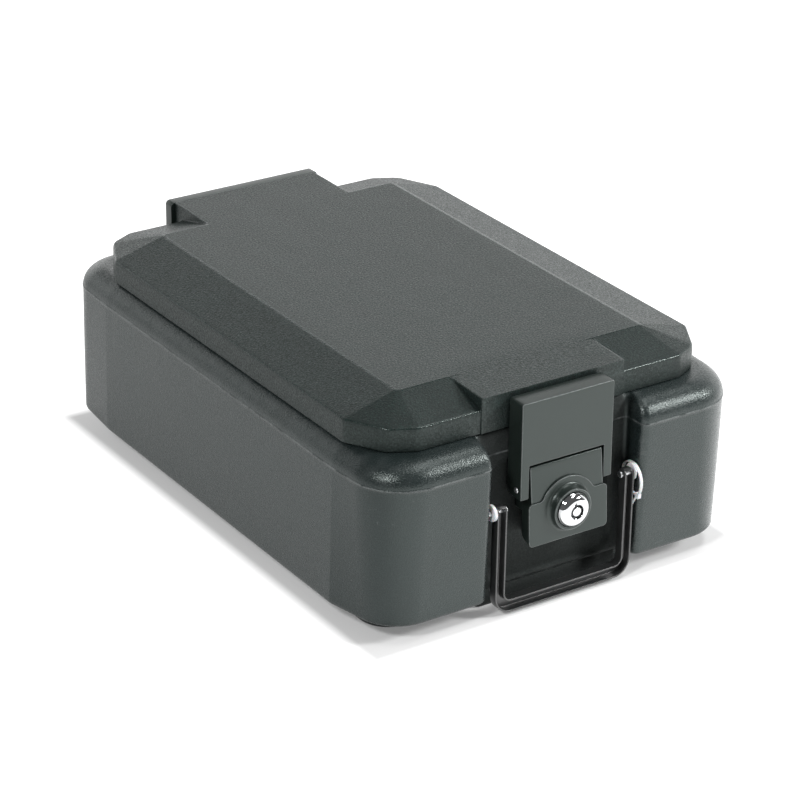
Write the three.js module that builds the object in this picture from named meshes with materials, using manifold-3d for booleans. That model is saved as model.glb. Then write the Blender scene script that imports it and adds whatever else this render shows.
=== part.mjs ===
// A fire-resistant document box: a double-walled moulded base and lid with mineral fill,
// a hinged lid, a front latch lever over a cylinder lock, and a hanging carrying bail.
// Millimetres. X runs along the front, Y to the back, Z up. The latch faces -Y.
// The origin is the centre of the underside, on the floor.
import * as THREE from "three";
import { mergeVertices } from "three/addons/utils/BufferGeometryUtils.js";
import Module from "manifold-3d";

const wasm = await Module();
wasm.setup();

// Clearances
const TOUCH_GAP = 0.3;
const PIN_CLEARANCE = 0.06;
const FILL_CLEARANCE = 0.6;
const CUT_PAST = 2;
const ROUND_SEGMENTS = 24;
const SCREW_SEGMENTS = 12;

// Base shell
const BASE_HALF_WIDTH = 146;
const BASE_HALF_DEPTH = 207;
const FOOT_FLARE_X = 1.5;
const FOOT_IN_Y = 3.5;
const BASE_FOOT_HALF_WIDTH = BASE_HALF_WIDTH + FOOT_FLARE_X;
const BASE_FOOT_HALF_DEPTH = BASE_HALF_DEPTH - FOOT_IN_Y;
const PLINTH_HEIGHT = 12;
const BASE_TOP = 127;
const SHOULDER_HEIGHT = 15.5;
const PARTING_HEIGHT = BASE_TOP - SHOULDER_HEIGHT;
const FOOT_FILLET = 4;
const SHOULDER_RUN = 15.5;
const WALL = 3;
const KINK_SETBACK = 57;
const SIDE_KINK_Y = BASE_HALF_DEPTH - KINK_SETBACK;
const SIDE_KINK_RADIUS = 7;
const CORNER_CUT_TOP = 3;
const CORNER_CUT_FOOT = 11.5;
const CORNER_RADIUS_TOP = 36;
const CORNER_RADIUS_FOOT = 30;
const REAR_CORNER_CUT_TOP = 2;
const REAR_CORNER_CUT_FOOT = 5;
const REAR_CORNER_RADIUS_TOP = 28;
const REAR_CORNER_RADIUS_FOOT = 20;
const RECESS_DEPTH = 18.5;
const RECESS_WALL_Y = BASE_HALF_DEPTH - RECESS_DEPTH;
const FRONT_RECESS_HALF_WIDTH = 59.5;
const REAR_RECESS_HALF_WIDTH = 67;
const RECESS_EDGE_RADIUS = 8;
const RECESS_CORNER_RADIUS = 3;
const RECESS_TOP_RUN = 5;
const PLINTH_INSET_X = 17.5;
const PLINTH_INSET_Y = 22.5;
const PLINTH_HALF_WIDTH = BASE_FOOT_HALF_WIDTH - PLINTH_INSET_X;
const PLINTH_HALF_DEPTH = BASE_FOOT_HALF_DEPTH - PLINTH_INSET_Y;
const PLINTH_RADIUS = 22;
const CENTRE_FOOT_HALF_WIDTH = FRONT_RECESS_HALF_WIDTH - 6;
const CENTRE_FOOT_HALF_DEPTH = RECESS_WALL_Y - 1.5;
const CENTRE_FOOT_RADIUS = 6;
const PLINTH_FILLET = 2.5;
const PLINTH_OVERLAP = 6;
const PANEL_SIDE_GAP = 9.5;
const PANEL_HALF_WIDTH = FRONT_RECESS_HALF_WIDTH - PANEL_SIDE_GAP;
const PANEL_FOOT = PLINTH_HEIGHT + 3;
const PANEL_TOP = PARTING_HEIGHT - 5.5;
const PANEL_RADIUS = 14;
const PANEL_DEPTH = 2.2;
const PANEL_FACE_Y = -RECESS_WALL_Y + PANEL_DEPTH;

// Document compartment
const BULK_X = 38;
const BULK_Y = 55;
const BULK_FLOOR = 30;
const ROOM_HALF_WIDTH = BASE_HALF_WIDTH - BULK_X;
const ROOM_HALF_DEPTH = BASE_HALF_DEPTH - BULK_Y;
const ROOM_FLOOR = PLINTH_HEIGHT + BULK_FLOOR;
const ROOM_RADIUS = 20;
const ROOM_FLOOR_FILLET = 6;
const REBATE_WIDTH = 12;
const REBATE_HALF_WIDTH = ROOM_HALF_WIDTH + REBATE_WIDTH;
const REBATE_HALF_DEPTH = ROOM_HALF_DEPTH + REBATE_WIDTH;
const REBATE_RADIUS = ROOM_RADIUS + 6;
const REBATE_DEPTH = 8;
const REBATE_FLOOR = BASE_TOP - REBATE_DEPTH;
const SEAL_INSET = 1.5;
const SEAL_WIDTH = 7;
const SEAL_HEIGHT = 1.7;

// Lid
const LID_FOOT = BASE_TOP + TOUCH_GAP;
const RIM_HEIGHT = 16.4;
const LID_HEIGHT = 26.7;
const RIM_TOP = LID_FOOT + RIM_HEIGHT;
const LID_TOP = LID_FOOT + LID_HEIGHT;
const RIM_IN_X = 8;
const RIM_IN_FRONT = 21;
const RIM_IN_REAR = 17;
const RIM_HALF_WIDTH = BASE_HALF_WIDTH - RIM_IN_X;
const RIM_FRONT = BASE_HALF_DEPTH - RIM_IN_FRONT;
const RIM_REAR = BASE_HALF_DEPTH - RIM_IN_REAR;
const RIM_CUT_SIDE = 36;
const RIM_CUT_MID_IN_X = 15.4;
const RIM_CUT_MID_IN_Y = 9.1;
const RIM_CUT_END = 33.5;
const CROWN_IN_X = 40;
const CROWN_IN_Y = 35.5;
const CROWN_HALF_WIDTH = RIM_HALF_WIDTH - CROWN_IN_X;
const CROWN_FRONT = RIM_FRONT - CROWN_IN_Y;
const CROWN_REAR = RIM_REAR - CROWN_IN_Y - 2.5;
const FRONT_TONGUE_HALF_WIDTH = 57;
const FRONT_TONGUE_PROUD = 1;
const FRONT_TONGUE_Y = RIM_FRONT + FRONT_TONGUE_PROUD;
const FRONT_TONGUE_TOP = LID_TOP - 1.5;
const REAR_TONGUE_HALF_WIDTH = 60;
const REAR_TONGUE_PROUD = 10.7;
const REAR_TONGUE_Y = RIM_REAR + REAR_TONGUE_PROUD;
const TONGUE_ROOT = 30;
const LID_RING_CLEARANCE = 1.5;
const LID_RING_WIDTH = 8.5;
const LID_RING_FOOT = REBATE_FLOOR + 2;
const STRIKE_HALF_WIDTH = 20;
const STRIKE_TOP = LID_TOP - 8;
const STRIKE_FOOT = STRIKE_TOP - 8;
const STRIKE_DEPTH = 4;

// Fill plugs
const FILL_HOLE_RADIUS = 9;
const FILL_FLANGE_RADIUS = 11.5;
const FILL_FLANGE_DEPTH = 1.5;
const BASE_FILL_HOLE = [80, 120];
const LID_FILL_HOLE = [0, 70];

// Hinge
const HINGE_KNUCKLE_RADIUS = 4.5;
const HINGE_LEAF_GAP = 0.5;
const HINGE_BELOW_RIM = 9;
const HINGE_Y = REAR_TONGUE_Y + HINGE_LEAF_GAP + HINGE_KNUCKLE_RADIUS;
const HINGE_Z = BASE_TOP - HINGE_BELOW_RIM;
const HINGE_LEAF_HALF_WIDTH = REAR_TONGUE_HALF_WIDTH + 3;
const HINGE_ROD_RADIUS = 2.5;
const HINGE_ROD_HALF_LENGTH = 57;
const HINGE_LEAF_FOOT = HINGE_Z + 6;
const LEAF_FRONT_Y = HINGE_Y - HINGE_KNUCKLE_RADIUS;
const LEAF_REAR_Y = HINGE_Y + HINGE_KNUCKLE_RADIUS;
const LID_KNUCKLES = [
  [-40, -13],
  [13, 40],
];
const BASE_KNUCKLES = [
  [-56, -40.5],
  [-12.5, 12.5],
  [40.5, 56],
];
const BRACKET_HALF_WIDTH = HINGE_ROD_HALF_LENGTH + 1;
const BRACKET_THICKNESS = 3.5;
const BRACKET_TOP = HINGE_Z + 3;
const BRACKET_HEIGHT = 55;
const BRACKET_FOOT = BRACKET_TOP - BRACKET_HEIGHT;
const BRACKET_FRONT_Y = RECESS_WALL_Y + TOUCH_GAP;
const BRACKET_REAR_Y = BRACKET_FRONT_Y + BRACKET_THICKNESS;
const BRACKET_SCREW_X = 45;
const BRACKET_SCREW_OVER_FOOT = 10;
const BRACKET_HIGH_SCREW_X = 27;
const BRACKET_SCREW_UNDER_TOP = 17;
const ARM_FOOT_UNDER_HINGE = 18;
const ARM_BEND_UNDER_HINGE = 14;
const ARM_BEND_REACH = 3;

// Screws
const SCREW_RADIUS = 2;
const SCREW_HEAD_RADIUS = 4;
const SCREW_HEAD_HEIGHT = 2.4;
const SCREW_BITE = 9;
const SOCKET_RADIUS = 1.8;
const SOCKET_DEPTH = 1.4;

// Latch lever
const LEVER_WALL_GAP = 0.5;
const LEVER_DEPTH_TOP = 14.2;
const LEVER_DEPTH_FOOT = 15.2;
const LEVER_REAR_Y = -RECESS_WALL_Y - LEVER_WALL_GAP;
const LEVER_FRONT_TOP_Y = LEVER_REAR_Y - LEVER_DEPTH_TOP;
const LEVER_FRONT_FOOT_Y = LEVER_REAR_Y - LEVER_DEPTH_FOOT;
const LEVER_HALF_WIDTH = 36.5;
const LEVER_TOP = LID_TOP - 4.5;
const LEVER_HEIGHT = 68.5;
const LEVER_FOOT = LEVER_TOP - LEVER_HEIGHT;
const LEVER_LEG_WIDTH = 6.5;
const LEVER_LEG_HEIGHT = 23.5;
const LEVER_NOTCH_HALF_WIDTH = LEVER_HALF_WIDTH - LEVER_LEG_WIDTH;
const LEVER_NOTCH_TOP = LEVER_FOOT + LEVER_LEG_HEIGHT;
const LEVER_EDGE = 0.7;
const LEVER_HEEL_RADIUS = 5;
const TOOTH_HALF_WIDTH = 16;
const TOOTH_FOOT = STRIKE_FOOT + 1.5;
const TOOTH_TOP = STRIKE_TOP - 1.5;
const LATCH_PIN_RADIUS = 2.2;
const PIN_BEHIND_FRONT = 5.4;
const PIN_ABOVE_FOOT = 6;
const PIN_Y = LEVER_FRONT_FOOT_Y + PIN_BEHIND_FRONT;
const PIN_Z = LEVER_FOOT + PIN_ABOVE_FOOT;

// Lock housing, in the lever's notch
const NOTCH_SIDE_GAP = 0.7;
const NOTCH_TOP_GAP = 1.3;
const HOUSING_PROUD = 0.4;
const HOUSING_HALF_WIDTH = LEVER_NOTCH_HALF_WIDTH - NOTCH_SIDE_GAP;
const HOUSING_TOP = LEVER_NOTCH_TOP - NOTCH_TOP_GAP;
const HOUSING_HEIGHT = 55.6;
const HOUSING_FOOT = HOUSING_TOP - HOUSING_HEIGHT;
const HOUSING_DEPTH = 9.2;
const HOUSING_FRONT_Y = LEVER_FRONT_FOOT_Y - HOUSING_PROUD;
const HOUSING_REAR_Y = HOUSING_FRONT_Y + HOUSING_DEPTH;
const HOUSING_HEEL_RADIUS = 7;
const MOUNT_HALF_WIDTH = 22;
const MOUNT_WIDE_HALF_WIDTH = 28;
const MOUNT_FOOT = HOUSING_FOOT + 0.6;
const MOUNT_TOP = HOUSING_TOP - 3.2;

// Lock, its nut under the latch pin
const NUT_RADIUS = 13;
const NUT_THICKNESS = 3;
const NUT_BELOW_PIN = 2.6;
const LOCK_Z = PIN_Z - LATCH_PIN_RADIUS - NUT_BELOW_PIN - NUT_RADIUS;
const POCKET_HALF_WIDTH = 15;
const POCKET_HALF_HEIGHT = 14.4;
const POCKET_WALL = 4.2;
const POCKET_FRONT_Y = HOUSING_FRONT_Y + POCKET_WALL;
const COVER_OVER_SIDE = 2.2;
const COVER_HALF_WIDTH = HOUSING_HALF_WIDTH + COVER_OVER_SIDE;
const COVER_FOOT = HOUSING_FOOT - 0.2;
const COVER_OVER_LOCK = 10;
const COVER_TOP = LOCK_Z + COVER_OVER_LOCK;
const COVER_THICKNESS = 4.2;
const COVER_FRONT_Y = HOUSING_FRONT_Y - COVER_THICKNESS;
const COVER_RADIUS = 3;
const COVER_EDGE = 0.6;
const COVER_ARCH_RADIUS = 24.4;
const BOSS_BASE_RADIUS = 21;
const BOSS_LIP_RADIUS = 14.6;
const BOSS_HEIGHT = 4.8;
const BOSS_SEAT_DEPTH = 1.2;
const BOSS_LIP_Y = COVER_FRONT_Y - BOSS_HEIGHT;
const BOSS_SEAT_Y = BOSS_LIP_Y + BOSS_SEAT_DEPTH;
const LOCK_HEAD_RADIUS = 12;
const LOCK_FACE_RADIUS = 8;
const LOCK_FACE_PROUD = 3.6;
const LOCK_FACE_Y = BOSS_LIP_Y - LOCK_FACE_PROUD;
const LOCK_BARREL_RADIUS = 9;
const LOCK_BARREL_PAST_WALL = 8;
const LOCK_BARREL_END_Y = POCKET_FRONT_Y + LOCK_BARREL_PAST_WALL;
const PLUG_RADIUS = 4.9;
const PLUG_POST_RADIUS = 3.3;
const PLUG_NECK_RADIUS = 3.7;
const PLUG_NECK = 2.4;
const KEYWAY_DEPTH = 4;
const NOTCH_HALF_WIDTH = 0.9;
const NOTCH_REACH = 1.7;
const NOTCH_TURN = -40;
const PLUG_END_Y = LOCK_BARREL_END_Y + PLUG_NECK;
const CAM_THICKNESS = 1.6;
const CAM_GAP = 0.7;
const CAM_HALF_WIDTH = 5;
const CAM_HEEL = 6.4;
const CAM_REACH = 12.5;
const CAM_SCREW_RADIUS = 1.45;
const CAM_SCREW_HEAD_RADIUS = 5.4;
const CAM_SCREW_DEPTH = 4;

// Screws through the housing: a lower pair and a pair beside the lock
const LOW_SCREW_X = 18.6;
const LOW_SCREW_Z = HOUSING_FOOT + 4.2;
const HIGH_SCREW_X = 24.6;
const HIGH_SCREW_OVER_LOCK = 4.8;
const HIGH_SCREW_Z = LOCK_Z + HIGH_SCREW_OVER_LOCK;
const MOUNT_ROUND_SCREW = 2;
const MOUNT_STEP = HIGH_SCREW_Z - SCREW_HEAD_RADIUS - MOUNT_ROUND_SCREW;

// Bail
const BAIL_STANDOFF = 12.7;
const BAIL_BELOW_PIN = 9.8;
const BAIL_Y = -RECESS_WALL_Y - BAIL_STANDOFF;
const BAIL_Z = PIN_Z - BAIL_BELOW_PIN;
const BAIL_SIDE_GAP = 4.5;
const BAIL_HALF_WIDTH = FRONT_RECESS_HALF_WIDTH - BAIL_SIDE_GAP;
const BAIL_ARM_WIDTH = 7.6;
const BAIL_INNER_HALF_WIDTH = BAIL_HALF_WIDTH - BAIL_ARM_WIDTH;
const BAIL_FOOT = 2.5;
const BAIL_BAR_WIDTH = 9.2;
const BAIL_INNER_FOOT = BAIL_FOOT + BAIL_BAR_WIDTH;
const BAIL_FRONT_REACH = 4.3;
const BAIL_REAR_REACH = 2.7;
const BAIL_FRONT_Y = BAIL_Y - BAIL_FRONT_REACH;
const BAIL_REAR_Y = BAIL_Y + BAIL_REAR_REACH;
const BAIL_EAR = 7;
const BAIL_SHEET = 1.2;
const BAIL_EDGE = 0.8;
const BAIL_CORNER = 13;
const BAIL_TIP = 1.2;
const BAIL_TRIM_HEIGHT = 3.8;
const BAIL_TRIM_DEPTH = 3.6;
const BAIL_TRIM_SWELL_HEIGHT = 1.4;
const BAIL_TRIM_SWELL_DEPTH = 1.2;
const BAIL_PIN_RADIUS = 2.4;
const BAIL_PIN_HEAD_RADIUS = 3.6;
const BAIL_PIN_HEAD = 1.6;
const BAIL_PIN_INSET = 6;
const WASHER_RADIUS = 6.2;
const WASHER_SPACE = FRONT_RECESS_HALF_WIDTH - BAIL_HALF_WIDTH - 2 * TOUCH_GAP;
const WASHER_THIN = 0.8;

// Cable tie round the right bail pin
const TIE_THICKNESS = 1.1;
const TIE_X = BAIL_HALF_WIDTH + 2 * TOUCH_GAP + WASHER_THIN;
const TIE_WIDTH = 2.3;
const TIE_HEAD_WIDTH = 2.7;
const TIE_HEAD_FORWARD = 5.8;
const TIE_HEAD_DROP = 16.2;
const TIE_TAIL_BACK = 2;
const TIE_TAIL_DROP = 29.2;

// Materials
const lidPlastic = makeMaterial(0x26292a, 0.7, 0);
const basePlastic = makeMaterial(0x2c3031, 0.5, 0);
const fillMineral = makeMaterial(0xc9c4b8, 0.95, 0);
const sealRubber = makeMaterial(0x17181a, 0.8, 0);
const plugPlastic = makeMaterial(0x1d1f20, 0.6, 0);
const latchPlastic = makeMaterial(0x222526, 0.45, 0);
const blackPaint = makeMaterial(0x0d0e0f, 0.25, 0.3);
const steel = makeMaterial(0xb5b8bb, 0.35, 1);
const chrome = makeMaterial(0xdfe2e6, 0.08, 1);
const nylon = makeMaterial(0xe9ecee, 0.35, 0);

function makeMaterial(color, roughness, metalness) {
  return new THREE.MeshStandardMaterial({ color, roughness, metalness });
}

// A closed geometry as a solid that can be joined and cut.
function solidFrom(geometry) {
  const bare = geometry.index ? geometry.toNonIndexed() : geometry.clone();
  bare.deleteAttribute("normal");
  bare.deleteAttribute("uv");
  const merged = mergeVertices(bare, 1e-4);
  return new wasm.Manifold(
    new wasm.Mesh({
      numProp: 3,
      vertProperties: merged.attributes.position.array,
      triVerts: new Uint32Array(merged.index.array),
    }),
  );
}

// A solid as a named mesh.
function meshFrom(name, solid, material) {
  const { vertProperties, triVerts, numProp } = solid.getMesh();
  const count = vertProperties.length / numProp;
  const positions = new Float32Array(count * 3);
  for (let i = 0; i < count; i += 1) {
    positions.set(vertProperties.subarray(i * numProp, i * numProp + 3), i * 3);
  }
  const geometry = new THREE.BufferGeometry();
  geometry.setAttribute("position", new THREE.BufferAttribute(positions, 3));
  geometry.setIndex(new THREE.BufferAttribute(new Uint32Array(triVerts), 1));
  geometry.computeVertexNormals();
  const mesh = new THREE.Mesh(geometry, material);
  mesh.name = name;
  return mesh;
}

function joined(solids) {
  return solids.reduce((sum, next) => sum.add(next));
}

// An outline whose corners {x, y, r, n} are rounded by arcs of n straight steps.
function roundedOutline(corners) {
  return corners.flatMap((corner, i) => {
    const before = corners[(i + corners.length - 1) % corners.length];
    const after = corners[(i + 1) % corners.length];
    const here = new THREE.Vector2(corner.x, corner.y);
    const back = new THREE.Vector2(before.x, before.y).sub(here).normalize();
    const ahead = new THREE.Vector2(after.x, after.y).sub(here).normalize();
    const half = Math.acos(THREE.MathUtils.clamp(back.dot(ahead), -1, 1)) / 2;
    const centre = back
      .clone()
      .add(ahead)
      .normalize()
      .multiplyScalar(corner.r / Math.sin(half))
      .add(here);
    const start = back.multiplyScalar(corner.r / Math.tan(half)).add(here).sub(centre);
    const end = ahead.multiplyScalar(corner.r / Math.tan(half)).add(here).sub(centre);
    let sweep = end.angle() - start.angle();
    if (sweep > Math.PI) sweep -= 2 * Math.PI;
    if (sweep < -Math.PI) sweep += 2 * Math.PI;
    const points = [];
    for (let j = 0; j <= corner.n; j += 1) {
      const angle = start.angle() + (sweep * j) / corner.n;
      points.push(
        new THREE.Vector2(
          centre.x + corner.r * Math.cos(angle),
          centre.y + corner.r * Math.sin(angle),
        ),
      );
    }
    return points;
  });
}

// A rectangle outline with rounded corners, counterclockwise from above.
function rectangleOutline(x0, x1, y0, y1, r, n) {
  return roundedOutline([
    { x: x0, y: y0, r, n },
    { x: x1, y: y0, r, n },
    { x: x1, y: y1, r, n },
    { x: x0, y: y1, r, n },
  ]);
}

// A closed skin through rings of equally many points. A ring's height is a number or a
// function of the point.
function loft(rings) {
  const count = rings[0].points.length;
  const positions = rings.flatMap(({ points, z }) =>
    points.flatMap((p) => [p.x, p.y, typeof z === "function" ? z(p) : z]),
  );
  const index = [];
  for (let k = 0; k + 1 < rings.length; k += 1) {
    for (let i = 0; i < count; i += 1) {
      const a = k * count + i;
      const b = k * count + ((i + 1) % count);
      index.push(a, b, b + count, a, b + count, a + count);
    }
  }
  const lastStart = (rings.length - 1) * count;
  THREE.ShapeUtils.triangulateShape(rings[0].points, []).forEach(([a, b, c]) =>
    index.push(c, b, a),
  );
  THREE.ShapeUtils.triangulateShape(rings.at(-1).points, []).forEach(([a, b, c]) =>
    index.push(lastStart + a, lastStart + b, lastStart + c),
  );
  const geometry = new THREE.BufferGeometry();
  geometry.setAttribute("position", new THREE.Float32BufferAttribute(positions, 3));
  geometry.setIndex(index);
  return solidFrom(geometry);
}

function box(x0, x1, y0, y1, z0, z1) {
  const geometry = new THREE.BoxGeometry(x1 - x0, y1 - y0, z1 - z0);
  geometry.translate((x0 + x1) / 2, (y0 + y1) / 2, (z0 + z1) / 2);
  return solidFrom(geometry);
}

// A round bar along "x", "y" or "z" from one end coordinate to the other, through the
// point (u, v) of the two other axes in X, Y, Z order.
function bar(axis, radius, from, to, u, v, segments = ROUND_SEGMENTS) {
  const geometry = new THREE.CylinderGeometry(radius, radius, to - from, segments);
  const middle = (from + to) / 2;
  if (axis === "x") {
    geometry.rotateZ(-Math.PI / 2).translate(middle, u, v);
  } else if (axis === "y") {
    geometry.translate(u, middle, v);
  } else {
    geometry.rotateX(Math.PI / 2).translate(u, v, middle);
  }
  return solidFrom(geometry);
}

// A turned piece about an axis along Y through (0, z). Profile points are [radius, y].
function turned(profile, z, segments = ROUND_SEGMENTS) {
  const points = profile.map(([radius, y]) => new THREE.Vector2(radius, y));
  const geometry = new THREE.LatheGeometry(points, segments);
  geometry.translate(0, 0, z);
  return solidFrom(geometry);
}

// A shape of (y, z) points drawn out along X.
function acrossX(points, x0, x1) {
  const shape = new THREE.Shape(points.map(([y, z]) => new THREE.Vector2(y, z)));
  const geometry = new THREE.ExtrudeGeometry(shape, { depth: x1 - x0, bevelEnabled: false });
  const turn = new THREE.Matrix4().makeBasis(
    new THREE.Vector3(0, 1, 0),
    new THREE.Vector3(0, 0, 1),
    new THREE.Vector3(1, 0, 0),
  );
  geometry.applyMatrix4(turn).translate(x0, 0, 0);
  return solidFrom(geometry);
}

// A plate seen from the front: an outline of (x, z) points between a back and a front
// face, with a chamfer round the front face. frontY may be a function of z.
function facePlate(outlineAt, frontY, backY, chamfer) {
  const front = typeof frontY === "function" ? frontY : () => frontY;
  const rings = [
    { points: outlineAt(0), z: -backY },
    { points: outlineAt(0), z: (p) => -front(p.y) - chamfer },
    { points: outlineAt(chamfer), z: (p) => -front(p.y) },
  ];
  return loft(rings).rotate([90, 0, 0]);
}

// Base: one ring of its outline. Sizes are half-sizes, each given separately. The hidden
// inner faces are drawn with fewer steps round each corner.
function baseOutline(s) {
  const cutX = s.halfWidth - s.cornerCut;
  const rearCutX = s.halfWidth - s.rearCut;
  const [fold, edge, corner] = s.hidden ? [1, 2, 3] : [2, 4, 7];
  const quarter = [
    { x: s.frontRecess, y: -s.recessY, r: RECESS_CORNER_RADIUS, n: fold },
    { x: s.frontRecess, y: -s.halfDepth, r: s.edgeRadius, n: edge },
    { x: cutX, y: -s.halfDepth, r: s.cornerRadius, n: corner },
    { x: s.halfWidth, y: -s.kinkY, r: SIDE_KINK_RADIUS, n: fold },
  ];
  const rear = [
    { x: s.rearRecess, y: s.recessY, r: RECESS_CORNER_RADIUS, n: fold },
    { x: s.rearRecess, y: s.halfDepth, r: s.edgeRadius, n: edge },
    { x: rearCutX, y: s.halfDepth, r: s.rearRadius, n: corner },
    { x: s.halfWidth, y: s.kinkY, r: SIDE_KINK_RADIUS, n: fold },
  ];
  const mirrored = (corners) => corners.map((c) => ({ ...c, x: -c.x }));
  return roundedOutline([
    ...quarter,
    ...rear.slice().reverse(),
    ...mirrored(rear),
    ...mirrored(quarter).reverse(),
  ]);
}

// The base's outline at a share of the height between foot and parting line, drawn in by
// a run outside and a smaller run in the recesses.
function baseRing(share, run, recessRun, inset) {
  const mix = THREE.MathUtils.lerp;
  const drawn = run + inset;
  return baseOutline({
    halfWidth: mix(BASE_FOOT_HALF_WIDTH, BASE_HALF_WIDTH, share) - drawn,
    halfDepth: mix(BASE_FOOT_HALF_DEPTH, BASE_HALF_DEPTH, share) - drawn,
    cornerCut: mix(CORNER_CUT_FOOT, CORNER_CUT_TOP, share),
    cornerRadius: mix(CORNER_RADIUS_FOOT, CORNER_RADIUS_TOP, share) - drawn / 2,
    rearCut: mix(REAR_CORNER_CUT_FOOT, REAR_CORNER_CUT_TOP, share),
    rearRadius: mix(REAR_CORNER_RADIUS_FOOT, REAR_CORNER_RADIUS_TOP, share) - drawn / 2,
    kinkY: SIDE_KINK_Y - drawn / 2,
    frontRecess: FRONT_RECESS_HALF_WIDTH + recessRun + inset,
    rearRecess: REAR_RECESS_HALF_WIDTH + recessRun + inset,
    recessY: RECESS_WALL_Y - recessRun - inset,
    edgeRadius: RECESS_EDGE_RADIUS - inset / 2,
    hidden: inset > 0,
  });
}

function baseBlock(inset, steps) {
  const rings = [];
  const footZ = PLINTH_HEIGHT + inset;
  const topZ = BASE_TOP - inset;
  for (let i = 0; i <= steps; i += 1) {
    const angle = (i / steps) * (Math.PI / 2);
    const run = FOOT_FILLET * (1 - Math.sin(angle));
    const z = footZ + FOOT_FILLET * (1 - Math.cos(angle));
    rings.push({ points: baseRing(0, run, run * 0.8, inset), z });
  }
  const shoulder = topZ - PARTING_HEIGHT;
  for (let i = 0; i <= steps + 1; i += 1) {
    const angle = (i / (steps + 1)) * (Math.PI / 2);
    const run = SHOULDER_RUN * (1 - Math.cos(angle));
    const recessRun = RECESS_TOP_RUN * (1 - Math.cos(angle));
    const z = PARTING_HEIGHT + shoulder * Math.sin(angle);
    rings.push({ points: baseRing(1, run, recessRun, inset), z });
  }
  return loft(rings);
}

// The foot's outline, drawn in by a run: a rounded rectangle with a step forward and a
// step back at its middle, under the recesses.
function plinthOutline(run) {
  const wide = PLINTH_HALF_WIDTH - run;
  const deep = PLINTH_HALF_DEPTH - run;
  const middle = CENTRE_FOOT_HALF_WIDTH - run;
  const reach = CENTRE_FOOT_HALF_DEPTH - run;
  const r = CENTRE_FOOT_RADIUS;
  const quarter = [
    { x: middle, y: -reach, r: r / 2, n: 2 },
    { x: middle, y: -deep, r: r / 3, n: 2 },
    { x: wide, y: -deep, r: PLINTH_RADIUS - run, n: 5 },
  ];
  const flipX = (c) => ({ ...c, x: -c.x });
  const flipY = (c) => ({ ...c, y: -c.y });
  return roundedOutline([
    ...quarter,
    ...quarter.map(flipY).reverse(),
    ...quarter.map(flipY).map(flipX),
    ...quarter.map(flipX).reverse(),
  ]);
}

function plinthBlock(inset) {
  const ring = (run, z) => ({ points: plinthOutline(inset + run), z });
  return loft([
    ring(PLINTH_FILLET, inset),
    ring(PLINTH_FILLET * 0.3, inset + PLINTH_FILLET * 0.3),
    ring(0, inset + PLINTH_FILLET),
    ring(0, PLINTH_HEIGHT + inset + PLINTH_OVERLAP),
  ]);
}

// The compartment with its lid rebate, grown by a wall thickness on every side.
function roomBlock(grow) {
  const steps = grow > 0 ? 3 : 6;
  const room = (run, z) => ({
    points: rectangleOutline(
      -ROOM_HALF_WIDTH - grow + run,
      ROOM_HALF_WIDTH + grow - run,
      -ROOM_HALF_DEPTH - grow + run,
      ROOM_HALF_DEPTH + grow - run,
      ROOM_RADIUS + grow - run,
      steps,
    ),
    z,
  });
  const rebate = (z) => ({
    points: rectangleOutline(
      -REBATE_HALF_WIDTH - grow,
      REBATE_HALF_WIDTH + grow,
      -REBATE_HALF_DEPTH - grow,
      REBATE_HALF_DEPTH + grow,
      REBATE_RADIUS + grow,
      steps,
    ),
    z,
  });
  const floor = ROOM_FLOOR - grow;
  const inner = loft([
    room(ROOM_FLOOR_FILLET, floor),
    room(ROOM_FLOOR_FILLET * 0.3, floor + ROOM_FLOOR_FILLET * 0.3),
    room(0, floor + ROOM_FLOOR_FILLET),
    room(0, BASE_TOP + CUT_PAST),
  ]);
  const step = loft([rebate(REBATE_FLOOR - grow), rebate(BASE_TOP + CUT_PAST)]);
  return inner.add(step);
}

// The shallow moulded panel in the front recess, grown by a wall thickness.
function panelBlock(grow) {
  const outline = () =>
    rectangleOutline(
      -PANEL_HALF_WIDTH - grow,
      PANEL_HALF_WIDTH + grow,
      PANEL_FOOT - grow,
      PANEL_TOP + grow,
      PANEL_RADIUS + grow,
      5,
    );
  return loft([
    { points: outline(), z: RECESS_WALL_Y - PANEL_DEPTH - grow },
    { points: outline(), z: RECESS_WALL_Y + CUT_PAST },
  ]).rotate([90, 0, 0]);
}

// Places of the screws that enter the base and the lid: [x, z].
const HOUSING_SCREWS = [
  [-LOW_SCREW_X, LOW_SCREW_Z],
  [LOW_SCREW_X, LOW_SCREW_Z],
  [-HIGH_SCREW_X, HIGH_SCREW_Z],
  [HIGH_SCREW_X, HIGH_SCREW_Z],
];
const BRACKET_SCREWS = [
  [-BRACKET_SCREW_X, BRACKET_FOOT + BRACKET_SCREW_OVER_FOOT],
  [BRACKET_SCREW_X, BRACKET_FOOT + BRACKET_SCREW_OVER_FOOT],
  [-BRACKET_HIGH_SCREW_X, BRACKET_TOP - BRACKET_SCREW_UNDER_TOP],
  [BRACKET_HIGH_SCREW_X, BRACKET_TOP - BRACKET_SCREW_UNDER_TOP],
];
const LEAF_SCREWS = [
  [-50, LID_TOP - 14],
  [-18, LID_TOP - 14],
  [18, LID_TOP - 14],
  [50, LID_TOP - 14],
];

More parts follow.
